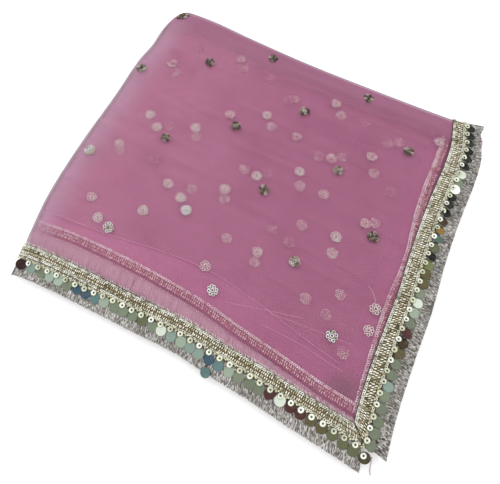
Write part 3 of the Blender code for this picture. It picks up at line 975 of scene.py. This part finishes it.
under_rows = (
    (edge_silver, chain_link(0.0008, 0.0008, 0.00038), 0.0012, -0.0003, LINK_PITCH, 0.00012),
    (under_gold, zari_stitch(0.0020, -0.0004, 0.00042), 0.0037, -0.0002, 0.0017, 0.00030),
    (under_gold, zari_stitch(0.0020, -0.0004, 0.00042), 0.0061, -0.0002, 0.0017, 0.00030),
    (edge_silver, chain_link(0.0006, 0.0003, 0.00018), 0.0100, 0.0000, LINK_PITCH, 0.00008),
)
broad_chain = (
    (edge_silver, chain_link(0.0009, 0.0012, 0.00046), 0.0014, -0.0003, LINK_PITCH, 0.00020),
)
corner_q = float(second_front(FLAT_WIDTH))
front_end = FLAT_WIDTH - float(second_side(corner_q)) - SECOND_LACE / 2
side_run = (corner_q + SECOND_LACE / 2, FLAT_LENGTH - 0.0020)
under_parts = (
    gota(under_front, (-0.0060, front_end), 31, under_rows, False)
    + gota(under_side, side_run, 35, broad_chain + under_rows[1:], False)
    + [ribbon(under_tape_in_painted_shade, under_front, -0.0060, front_end, 0.0004, 0.0084, 0.0003, 0.0005, 90),
       ribbon(under_tape_in_painted_shade, under_side, *side_run, 0.0004, 0.0084, 0.0003, 0.0005, 90)]
)
second_braid = put(
    "second_braid", join("second_braid", under_parts), None, "gota_under",
    "under_lace_front", "under_lace_side",
)


def under_fringe(along, out, lift):
    return over(along, second_front(along) - SEAM - out, lift - SECOND_DEPTH - 0.0003)


veiled_tinsel = tinsel_finish(
    "tinsel under net", paint(202, 158, 177), paint(206, 162, 180), paint(209, 166, 183), 0.0,
)
mesh = tinsel(
    veiled_tinsel, under_fringe, -0.0050, FLAT_WIDTH - 0.0060, 2300, 0.0125, 41, 0.0002,
)
second_tinsel = put("second_tinsel", mesh, None, "tinsel_under", "under_fringe_front")


# The top ply: one layer of net that rolls loosely over the left fold and tightly over the far
# one, and lies on the plies below without a stitch.
far_turn = math.pi / 2 - math.radians(FAR_ROLL_END)
far_end = FLAT_LENGTH + far_turn * (FAR_REACH + FAR_HALF_HEIGHT) / 2
ps = np.concatenate([
    np.linspace(left_start, 0.0, 26)[:-1], np.linspace(0.0, FLAT_WIDTH - SEAM, 130),
])
qs = np.concatenate([
    np.linspace(0.0, FLAT_LENGTH, 124)[:-1], np.linspace(FLAT_LENGTH, far_end, 10),
])
q, p = np.meshgrid(qs, ps)
outer_net = net_finish(
    "top net", paint(202, 138, 166), paint(180, 110, 143), paint(160, 88, 122), 0.04, 0.28,
)
top_net = put("top_net", net_mesh("top_net", p, q, 0.0), outer_net, "net_top", "top_ply")


# The gota braid of the top ply, 11 mm wide, sewn flat round its edges with a mitre at the
# corner: a gold tape, painted dark olive as the shade between its stitches, a chain stitch along
# each edge, rows of slanting zari stitches between them, and a dark line of stitches where it
# meets the net.
LEFT_RUN, FAR_RUN = 0.0100, 0.0036
MITRE_RUN = 0.0300          # how far from the corner the rows bend into the mitre


def plain_front(along, out, lift):
    """Places on the front trim: out is outwards from the cloth's edge."""
    return over(along, -out, lift + SEAM)


def plain_side(along, out, lift):
    return over(FLAT_WIDTH + out, along, lift + SEAM)


def mitred_front(along, out, lift):
    """Places on the front braid, whose rows end at the mitre, sooner on its inner side."""
    bend = np.clip(1 - (FLAT_WIDTH - along) / MITRE_RUN, 0.0, 1.0)
    return plain_front(along + out * bend, out, lift)


def mitred_side(along, out, lift):
    bend = np.clip(1 - along / MITRE_RUN, 0.0, 1.0)
    return plain_side(along - out * bend, out, lift)


top_gold = gota_finish("gota", paint(88, 76, 48), paint(213, 204, 169), paint(255, 253, 242), 0.2)
chain_silver = gota_finish(
    "chain-stitched edge", paint(110, 106, 88), paint(206, 206, 186), paint(252, 254, 244), 0.2,
)
# The tape is painted dark olive: painted shade for the gaps between the stitches.
tape_in_painted_shade = speckled(
    "gota tape", 1100.0, (70, 62, 40), (116, 104, 72), grain=0.0002, Roughness=0.5, Metallic=0.35,
)
seam_thread = speckled("dark seam thread", 1500.0, (60, 34, 44), (112, 70, 84), Roughness=0.8)
front_rows = (
    (chain_silver, zari_stitch(0.0024, 0.0006, 0.00017), -0.0106, 0.00050, 0.00115, 0.00040),
    (chain_silver, chain_link(0.00076, 0.0009, 0.00034), -0.0084, 0.00075, LINK_PITCH, 0.00014),
    (top_gold, zari_stitch(0.0021, -0.0006, 0.00050), -0.0062, 0.00070, 0.0016, 0.00026),
    (top_gold, zari_stitch(0.0021, -0.0006, 0.00050), -0.0034, 0.00070, 0.0016, 0.00026),
    (chain_silver, chain_link(0.00078, 0.0009, 0.00036), -0.0011, 0.00075, LINK_PITCH, 0.00022),
)
side_rows = (
    (chain_silver, chain_link(0.00074, 0.0010, 0.00036), -0.0099, 0.00075, LINK_PITCH, 0.00012),
    (top_gold, zari_stitch(0.0021, 0.0012, 0.00056), -0.0076, 0.00070, 0.0020, 0.00022),
    (top_gold, zari_stitch(0.0021, 0.0012, 0.00056), -0.0055, 0.00070, 0.0020, 0.00022),
    (top_gold, zari_stitch(0.0019, 0.0012, 0.00052), -0.0034, 0.00070, 0.0020, 0.00022),
    (chain_silver, chain_link(0.00078, 0.0009, 0.00036), -0.0011, 0.00075, LINK_PITCH, 0.00020),
)
slack_loops = (
    (top_gold, zari_stitch(0.0019, -0.0004, 0.00050), 0.0012, 0.00060, 0.0018, 0.00030),
)
for name, place, run, rows, seam_line, seed in (
    ("front", mitred_front, (-LEFT_RUN, FLAT_WIDTH), front_rows, -0.0095, 51),
    ("side", mitred_side, (0.0, FLAT_LENGTH + FAR_RUN), side_rows, -0.0113, 57),
):
    parts = gota(place, run, seed, rows, True)
    if name == "front":
        parts += gota(place, (-LEFT_RUN, 0.0700), 63, slack_loops, True)
    parts.append(ribbon(tape_in_painted_shade, place, *run, seam_line + 0.0002, 0.0004, 0.0, 0.0003, 150))
    stitches = np.linspace(run[0], run[1], 420)
    line = place(stitches, np.full(420, seam_line), np.full(420, 0.0004))
    parts.append(mesh_of("seam", *tube(line, 0.00030, 5, 0.6)))
    parts[-1].materials.append(seam_thread)
    put("braid_" + name, join("braid", parts), None, "gota_braid", "lace_" + name)


# The cup sequins: small pressed cups of metallised film, under 5 mm across, each sewn through its
# dark middle on the braid's outer edge, with a knot of pale thread between one and the next.
# A dark band of painted shade runs round the outside of each cup's rim.
CUP_ROWS = {                # how many, where the first and last are, and (along, out) of their line
    "front": (34, 0.0050, 0.2754, [
        (0.0, 0.0036), (0.050, 0.0032), (0.080, 0.0016),
        (0.150, 0.0014), (0.190, 0.0008), (0.280, 0.0018),
    ]),
    "side": (36, -0.0040, 0.2680, [
        (0.0, -0.0001), (0.100, 0.0002), (0.150, 0.0011), (0.270, 0.0011),
    ]),
}


def lathe(profile, sides):
    """A turned shape from a profile of radius and height that starts and ends on its axis."""
    angle = np.arange(sides) * 2 * np.pi / sides
    points = [(0.0, 0.0, profile[0][1])]
    for radius, height in profile[1:-1]:
        points += [(radius * math.cos(a), radius * math.sin(a), height) for a in angle]
    points.append((0.0, 0.0, profile[-1][1]))
    faces = [(0, 1 + (m + 1) % sides, 1 + m) for m in range(sides)]
    faces += bands(len(profile) - 2, sides, 1)
    ring = 1 + (len(profile) - 3) * sides
    faces += [(ring + m, ring + (m + 1) % sides, len(points) - 1) for m in range(sides)]
    return np.array(points), faces


def drift(name, along):
    """The stitches of the side row draw closer together towards its far end."""
    share = along / FLAT_LENGTH
    return along + 0.009 * share * (1 - share) if name == "side" else along


def sew(mesh, place, along, out, rise, lean, drawn):
    """Sew the copies of a unit on a trim, each stiff, at its own place, lean and turn."""
    points = points_of(mesh).reshape(len(along), -1, 3)
    spot = place(along, out, rise)
    way = place(along + NORMAL_STEP, out, rise) - place(along - NORMAL_STEP, out, rise)
    up = np.cross(place(along, out + NORMAL_STEP, rise) - place(along, out - NORMAL_STEP, rise), way)
    way /= np.linalg.norm(way, axis=-1, keepdims=True)
    up /= np.linalg.norm(up, axis=-1, keepdims=True)
    outwards = np.cross(way, up)
    for k in range(len(along)):
        turned = np.array(
            Matrix.Rotation(drawn.uniform(-0.2, 0.2), 3, "Z") @ Matrix.Rotation(lean[k], 3, "Y")
            @ Matrix.Rotation(drawn.uniform(-0.08, 0.08), 3, "X")
        )
        points[k] = spot[k] + points[k] @ turned.T @ np.stack([way[k], outwards[k], up[k]])
    move_points(mesh, points.reshape(-1, 3), mirrored=True)


CUP = [
    (0.0, 0.0), (0.0009, 0.0), (0.00215, 0.00035), (0.00240, 0.00060), (0.00228, 0.00076),
    (0.0019, 0.00066), (0.0014, 0.00050), (0.0009, 0.00044), (0.00062, 0.00022), (0.0, 0.00018),
]
cup_film, tree, shader = finish("cup sequins", Metallic=0.45, Coat_Weight=0.4, Coat_Roughness=0.15)
tint = tree.kept("tint")
pit = tree.kept("pit")
speck = tree.noise(tree.spot(), 500.0)
film = tree.ramp(
    tint * 0.5 + speck * 0.6, (0.15, paint(170, 170, 138)), (0.5, paint(206, 210, 182)),
    (0.85, paint(242, 245, 232)),
)
tree.feed(shader, {
    "Base Color": tree.blend(pit, film, paint(56, 54, 40)),
    "Roughness": tree.spread(speck, 0.3, 0.7, 0.28, 0.16),
})
knot_thread, tree, shader = finish("pale knots", Roughness=0.5, Metallic=0.2)
speck = tree.noise(tree.spot(), 1200.0)
tree.feed(shader, {
    "Base Color": tree.ramp(speck, (0.35, paint(150, 140, 104)), (0.6, paint(226, 222, 192))),
    "Normal": tree.bump(speck, 0.0002),
})
knot = lathe(
    [(0.0, 0.0), (0.0006, 0.00010), (0.00085, 0.00045), (0.0006, 0.0008), (0.0, 0.0009)], 8,
)
cup_parts = []
local = np.random.default_rng(61)
for name, place in (("front", plain_front), ("side", plain_side)):
    count, first, last, line = CUP_ROWS[name]
    at = drift(name, np.linspace(first, last, count)) + local.uniform(-0.0003, 0.0003, count)
    pitch = (last - first) / (count - 1)
    for shape, material, shift, inset, rise in (
        (lathe(CUP, 18), cup_film, 0.0, 0.0, 0.0017),
        (knot, knot_thread, 0.50 * pitch, 0.0010, 0.0010),
        (knot, knot_thread, 0.32 * pitch, 0.0018, 0.0009),
        (knot, knot_thread, 0.68 * pitch, 0.0018, 0.0009),
    ):
        mesh = grow(
            row_tree, shape, material, Count=count, Start=(0.0, 0.0, 0.0), Pitch=0.0,
            Seed=len(cup_parts) + 61, Shrink=0.10 if name == "front" else 0.18,
        )
        if shape is not knot:
            shaped = points_of(mesh).reshape(count, -1, 3)
            radius = np.hypot(shaped[..., 0], shaped[..., 1])
            upper = np.arange(shaped.shape[1])[None, :] > shaped.shape[1] // 2
            # The outside of the rim is painted dark: painted shade.
            rim = 0.8 * ease(0.90, 0.97, radius / radius.max(1, keepdims=True)) * ~upper
            set_values(mesh, "pit", (ease(0.00095, 0.0007, radius) * upper + rim).ravel())
        out = read(line, at + shift) - inset + local.uniform(-0.0002, 0.0002, count)
        lean = local.uniform(-0.12, 0.12, count)
        sew(mesh, place, at + shift, out, np.full(count, rise), lean, local)
        cup_parts.append(mesh)
cups = put("cup_sequins", join("cups", cup_parts), None, "mirror_sequin")


# The mirror sequins: flat discs, 8 mm across, of film coated to a mirror, hung by one stitch each
# over the fringe's root. Each stands at its own angle, so each one reflects its own colour; that
# colour is painted into its film as painted reflection.
DISC = [
    (0.0, 0.0), (0.0038, 0.0), (0.0042, 0.00008), (0.0042, 0.00020), (0.0038, 0.00026),
    (0.0024, 0.00022), (0.0, 0.00020),
]
# Painted reflections: the colour each disc reflects, by its letter.
REFLECTED_COLOURS = {
    "K": (12, 12, 10), "k": (28, 32, 26), "m": (70, 38, 36), "n": (58, 46, 28),
    "y": (130, 102, 48), "o": (84, 76, 50), "O": (104, 108, 72), "D": (88, 92, 66),
    "G": (102, 110, 92), "g": (112, 122, 102), "t": (124, 142, 132), "p": (150, 166, 152),
    "l": (140, 154, 136), "b": (56, 80, 94), "B": (88, 114, 114), "w": (196, 204, 190),
    "W": (244, 248, 238), "c": (72, 98, 86), "s": (62, 56, 36), "r": (44, 22, 24),
}
# The letters give each disc's painted reflection.
DISC_ROWS = {               # colours, where the first and last hang, and (along, out) of their line
    "front": ("rtgppgbbBlgggDgwtlttbBlgGGmwmmooDDD", 0.0000, 0.2750, [
        (0.0, 0.0055), (0.035, 0.0062), (0.070, 0.0053), (0.110, 0.0048), (0.145, 0.0057),
        (0.200, 0.0045), (0.220, 0.0034), (0.250, 0.0040), (0.275, 0.0054),
    ]),
    "side": ("sGGGGgtGGonmGlwgooOKDcynKkKWgwKKKkKK", -0.0050, 0.2680, [
        (-0.0050, 0.0008), (0.0030, 0.0034), (0.0200, 0.0039), (0.150, 0.0039),
        (0.200, 0.0034), (0.270, 0.0042),
    ]),
}
DROPPED = ("B", 0.1623, 0.0134)     # one more on the front, that hangs by a long stitch
LEANS = {"K": 0.24, "k": 0.24, "n": 0.20, "m": 0.15, "y": 0.25, "c": 0.2, "r": 0.5}
mirror_film, tree, shader = finish("mirror sequins", Metallic=0.3, Specular_IOR_Level=0.2)
# The film colour read here is painted reflection.
tone = tree.kept("film", "Color")
place = tree.spot()
scuff = tree.noise(place, 240.0, 3.0)
tree.feed(shader, {
    "Base Color": tree.blend(tree.spread(scuff, 0.4, 0.8, 0.0, 0.05), tone, paint(186, 192, 178)),
    "Roughness": tree.spread(scuff, 0.3, 0.75, 0.18, 0.38),
    "Normal": tree.bump(tree.noise(place, 160.0), 0.0003, 0.5),
})


local = np.random.default_rng(71)
for name, place in (("front", plain_front), ("side", plain_side)):
    colours, first, last, line = DISC_ROWS[name]
    at = drift(name, np.linspace(first, last, len(colours)))
    at = at + local.uniform(-0.0005, 0.0005, len(colours))
    out = read(line, at) + local.uniform(-0.0003, 0.0003, len(colours))
    if name == "front":
        colours += DROPPED[0]
        at, out = np.append(at, DROPPED[1]), np.append(out, DROPPED[2])
    count = len(colours)
    mesh = grow(
        row_tree, lathe(DISC, 24), mirror_film, Count=count, Start=(0.0, 0.0, 0.0), Pitch=0.0,
        Seed=73, Shrink=0.08,
    )
    lean = np.array([LEANS.get(letter, 0.0) for letter in colours])
    lean = lean + local.uniform(-0.08, 0.08, count)
    rise = 0.0006 + 0.0022 * np.abs(np.sin(lean)) + 0.0003 * (np.arange(count) % 2)
    sew(mesh, place, at, out, rise, lean, local)
    # Each disc's painted reflection, kept as its film colour.
    tones = [paint(*REFLECTED_COLOURS[letter]) for letter in colours]
    tones = np.repeat(tones, len(mesh.vertices) // count, 0)
    set_values(mesh, "film", tones, "FLOAT_COLOR", "color")
    put("mirror_sequins_" + name, mesh, None, "mirror_sequin", "disc_row_" + name)


# The tinsel fringe of the top ply: threads 14 to 16 mm long, sewn under the braid's outer edge.
# They lie out over the lower fringes, parted here and there, and fan out at the ends.
bright_tinsel = tinsel_finish(
    "tinsel", paint(88, 82, 78), paint(176, 169, 163), paint(255, 253, 250), 0.2,
)
# The same tinsel, painted darker for the side fringe: painted shade.
side_tinsel_in_painted_shade = tinsel_finish(
    "tinsel of the side in painted shade", paint(64, 59, 54), paint(142, 136, 129), paint(238, 235, 230), 0.2,
)


def fringe_front(along, out, lift):
    return over(along, -SEAM - out, lift)


def fringe_side(along, out, lift):
    """The last threads don't follow the far roll down: they stand out level beyond it."""
    spot = over(FLAT_WIDTH + SEAM + out, np.minimum(along, FLAT_LENGTH), lift)
    spot[..., 1] += np.maximum(along - FLAT_LENGTH, 0.0)
    return spot


BUNCH_THREADS = 46
BUNCH_ROOT, BUNCH_TIP = np.array([0.1467, -0.1344, 0.0152]), np.array([0.1483, -0.1454, 0.0036])
for name, film, place, run, reach, seed, fans in (
    ("front", bright_tinsel, fringe_front, (-0.0045, FLAT_WIDTH - 0.0012), FRINGE_REACH, 81,
     (-FAN, 0.0)),
    ("side", side_tinsel_in_painted_shade, fringe_side, (0.0012, FLAT_LENGTH + 0.0025), SIDE_REACH, 83,
     (0.0, 1.5 * FAN)),
):
    mesh = tinsel(film, place, *run, 2600, reach, seed, 0.0004, fans)
    put("tinsel_" + name, mesh, None, "tinsel", "fringe_" + name)

# A knotted bunch of the same tinsel falls from the corner, its threads fanned at their ends
bunch = []
t = np.linspace(0.0, 1.0, 8)[:, None]
for k in range(BUNCH_THREADS):
    share = k / (BUNCH_THREADS - 1)
    root = BUNCH_ROOT + np.append(local.uniform(-0.0008, 0.0008, 2), 0.0)
    tip = BUNCH_TIP + np.array([
        0.0052 * share, -0.0022 * math.sin(share * 3.1), local.uniform(0, 0.003),
    ])
    side = local.uniform(-0.0006, 0.0006, 3)
    path = root + (tip - root) * t + (side + (0.0, 0.0, 0.0016)) * np.sin(t * 3.1)
    points, faces = tube(path, 0.00026, 3, 0.7, taper=0.6)
    mesh = mesh_of("bunch", points, faces)
    set_values(mesh, "tint", np.full(len(points), local.uniform(0.3, 1.0)))
    set_values(mesh, "lay", np.tile([0.0013 * k, 0.0, 0.0], len(points)), "FLOAT_VECTOR", "vector")
    mesh.materials.append(bright_tinsel)
    bunch.append(mesh)
put("corner_bunch", join("bunch", bunch), None, "tinsel")


# The flowers: nine small cup sequins sewn to each, one in the middle and eight round it, in
# rows set half a step apart. Those of the plies below glimmer through the net.
TOP_FLOWERS = [             # across, back, and the light its film is painted to reflect
    (0.1009, 0.2616, 0.15), (0.1944, 0.2610, 0.15), (0.1485, 0.2221, 0.30), (0.2406, 0.2258, 0.20),
    (0.1966, 0.1815, 0.22), (0.1496, 0.1358, 0.30), (0.0021, 0.1966, 0.20), (0.0516, 0.2290, 0.05),
    (0.0556, 0.1417, 0.05), (0.1035, 0.1805, 0.10), (0.0057, 0.1037, 0.80), (0.1018, 0.0903, 0.90),
    (0.0528, 0.0484, 0.75), (0.2411, 0.1404, 0.26), (0.1938, 0.0923, 0.25), (0.1472, 0.0398, 1.00),
    (0.2391, 0.0551, 0.75), (0.0007, 0.2653, 0.10),
]
SECOND_FLOWERS = [
    (0.0749, 0.2471, 0.55), (0.1357, 0.2309, 0.40), (0.1691, 0.2433, 0.60), (0.1223, 0.2039, 0.80),
    (0.2609, 0.2458, 0.70), (0.1873, 0.1903, 0.60), (0.2160, 0.2074, 0.60), (0.1389, 0.1455, 0.90),
    (0.1687, 0.1657, 0.90), (0.1941, 0.1566, 0.60), (0.0229, 0.2124, 0.50), (0.0321, 0.1560, 0.85),
    (0.0438, 0.1482, 0.90), (0.0730, 0.1630, 0.80), (0.0942, 0.1895, 0.50), (0.0238, 0.1196, 0.65),
    (0.0780, 0.1050, 0.80), (0.0922, 0.0986, 1.00), (0.0710, 0.0747, 0.95), (0.0283, 0.0661, 0.70),
    (0.0407, 0.0525, 1.00), (0.1206, 0.1228, 0.75), (0.2151, 0.1269, 0.95), (0.2323, 0.1485, 0.50),
    (0.1655, 0.0849, 0.75), (0.1347, 0.0553, 0.80), (0.2605, 0.0892, 1.00), (0.2613, 0.0722, 0.85),
    (0.1533, 0.1956, 0.40),
]
THIRD_FLOWERS = [
    (0.0814, 0.2396, 0.35), (0.1852, 0.2640, 0.30), (0.1774, 0.2342, 0.60), (0.1304, 0.1959, 0.60),
    (0.1989, 0.2362, 0.15), (0.2224, 0.2257, 0.30), (0.2305, 0.2313, 0.35), (0.1766, 0.1869, 0.35),
    (0.1946, 0.1961, 0.40), (0.2230, 0.1939, 0.60), (0.1268, 0.1469, 0.50), (0.1450, 0.1521, 0.25),
    (0.1736, 0.1541, 0.80), (0.2411, 0.1842, 0.10), (0.0306, 0.2049, 0.35), (0.0354, 0.2391, 0.10),
    (0.0515, 0.1539, 0.25), (0.0778, 0.1558, 0.45), (0.0270, 0.1145, 0.50), (0.0569, 0.1198, 0.12),
    (0.0968, 0.1102, 0.40), (0.1238, 0.1148, 0.50), (0.1877, 0.1237, 0.60), (0.1684, 0.1087, 0.20),
    (0.1397, 0.0842, 0.60), (0.1842, 0.1050, 0.25), (0.2166, 0.1136, 0.90), (0.2389, 0.1529, 0.60),
    (0.1671, 0.0772, 0.65), (0.2120, 0.0707, 0.55), (0.2338, 0.0866, 0.60), (0.2295, 0.0675, 0.35),
    (0.2500, 0.0487, 0.40), (0.1307, 0.2276, 0.30), (0.1080, 0.2409, 0.12),
]
PETAL = [                   # a small cup sequin: radius, height
    (0.0, 0.0), (0.00118, 0.0001), (0.00144, 0.00024), (0.00118, 0.00052), (0.00096, 0.00048),
    (0.00078, 0.00020), (0.0, 0.00014),
]
PETAL_SIDES = 10


def flower(seed):
    """A flower of cup sequins, a little uneven, as points and faces."""
    drawn = np.random.default_rng(seed)
    cup_points, cup_faces = lathe(PETAL, PETAL_SIDES)
    points, faces = [], []
    for k in range(9):
        angle = k * math.pi / 4 + drawn.uniform(-0.08, 0.08)
        reach = 0.0 if k == 8 else 0.0033 + drawn.uniform(-0.0002, 0.0002)
        size = drawn.uniform(0.92, 1.04) * (1.2 if k == 8 else 1.0)
        tilt = np.array(
            Matrix.Rotation(drawn.uniform(-0.2, 0.2), 3, "X")
            @ Matrix.Rotation(drawn.uniform(-0.2, 0.2), 3, "Y")
        )
        rise = 0.0002 if k == 8 else 0.00012 * (k % 2)
        shift = np.array([reach * math.cos(angle), reach * math.sin(angle), rise])
        before = len(points) * len(cup_points)
        faces += [tuple(index + before for index in face) for face in cup_faces]
        points.append(cup_points @ tilt.T * size + shift)
    return np.vstack(points), faces


def flower_finish(name, metal, dark, glint, dark_bright, glint_bright, outline, outline_bright):
    """Pressed film that glints in specks; some petals face the light and some don't.

    Its specks, the light and dark of each flower and petal, and the dark round the petals' rims
    are painted light, reflection and shade; the dark middles are where they are sewn.
    """
    material, tree, shader = finish(name, Metallic=metal, Coat_Weight=0.2, Coat_Roughness=0.2)
    place = tree.spot()
    tint = tree.kept("tint")
    pit = tree.kept("pit")
    speck = tree.noise(place, 560.0, 2.0)
    share = tree.spread(speck + tint * 0.5, 0.50, 0.85)
    shaded = tree.blend(tint * tint, dark, dark_bright)
    film = tree.blend(share, shaded, tree.blend(tint, glint, glint_bright))
    tree.feed(shader, {
        "Base Color": tree.blend(pit, film, tree.blend(tint, outline, outline_bright)),
        "Roughness": tree.spread(speck, 0.3, 0.7, 0.38, 0.22),
    })
    return material


top_film = flower_finish(
    "flowers", 0.1, paint(44, 32, 14), paint(206, 186, 124), paint(240, 240, 226),
    paint(255, 255, 255), paint(8, 6, 2), paint(60, 56, 50),
)
under_film = flower_finish(
    "flowers under net", 0.0, paint(182, 110, 144), paint(226, 166, 176), paint(255, 222, 206),
    paint(255, 255, 246), paint(150, 76, 114), paint(80, 16, 34),
)
PETAL_POINTS = 2 + PETAL_SIDES * (len(PETAL) - 2)
# Rings 0 and 1 are painted shade round a petal's rim, 4 and 5 its dark middle.
HOLE_AND_SHADE_RINGS = (0, 1, 4, 5)        # of a petal's profile
flowers = {}
local = np.random.default_rng(97)
for name, rows, lift, film, spread_of in (
    ("top_flowers", TOP_FLOWERS, 0.0003, top_film, 0.38),
    ("second_flowers", SECOND_FLOWERS, -SECOND_DEPTH + 0.0002, under_film, 0.25),
    ("third_flowers", THIRD_FLOWERS, -THIRD_DEPTH + 0.0001, under_film, 0.20),
):
    p, q, painted_reflection = np.array(rows).T
    mesh = grow(
        scatter_tree, flower(91 + len(flowers)), film, Seed=95, turn=(0.04, 0.04, 3.1), Shrink=0.10,
        points=np.column_stack([p, q, np.full(len(p), lift)]),
    )
    points = points_of(mesh)
    petals = np.repeat(painted_reflection, 9) + spread_of * local.uniform(-1.0, 1.0, 9 * len(rows))
    set_values(mesh, "tint", np.repeat(np.clip(petals, 0.0, 1.0), PETAL_POINTS))
    ring = (np.arange(len(points)) % PETAL_POINTS - 1) // PETAL_SIDES
    set_values(mesh, "pit", np.isin(ring, HOLE_AND_SHADE_RINGS) * 1.0)
    points[:, 2] = lift + np.maximum(points[:, 2] - lift, 0.0)
    move_points(mesh, over(*points.T))
    flowers[name] = put(name, mesh, None, "mirror_sequin")


# Loose threads: a pale sewing end that lies under the top ply by a flower, and one grey end of
# tinsel that hangs from the corner to the table.
thread_film = speckled("loose threads", 500.0, (134, 128, 132), (222, 208, 216), Roughness=0.5)
sewing_end = over(*np.array([
    (0.2500, 0.1030), (0.2545, 0.1000), (0.2575, 0.0960), (0.2590, 0.0925), (0.2598, 0.0900),
]).T, -0.0009)
hanging_end = np.array([
    (0.1568, -0.1362, 0.0135), (0.1577, -0.1378, 0.0110), (0.1586, -0.1396, 0.0068),
    (0.1594, -0.1412, 0.0030), (0.1606, -0.1430, 0.0008), (0.1616, -0.1446, 0.0006),
])
for name, path, radius in (
    ("sewing_end", sewing_end, 0.00022), ("tinsel_end", hanging_end, 0.00050),
):
    steps = np.linspace(0.0, 1.0, 5 * len(path))
    known = np.linspace(0.0, 1.0, len(path))
    smooth = np.column_stack([read(np.column_stack([known, column]), steps) for column in path.T])
    put(name, mesh_of(name, *tube(smooth, radius, 6)), thread_film, "tinsel")
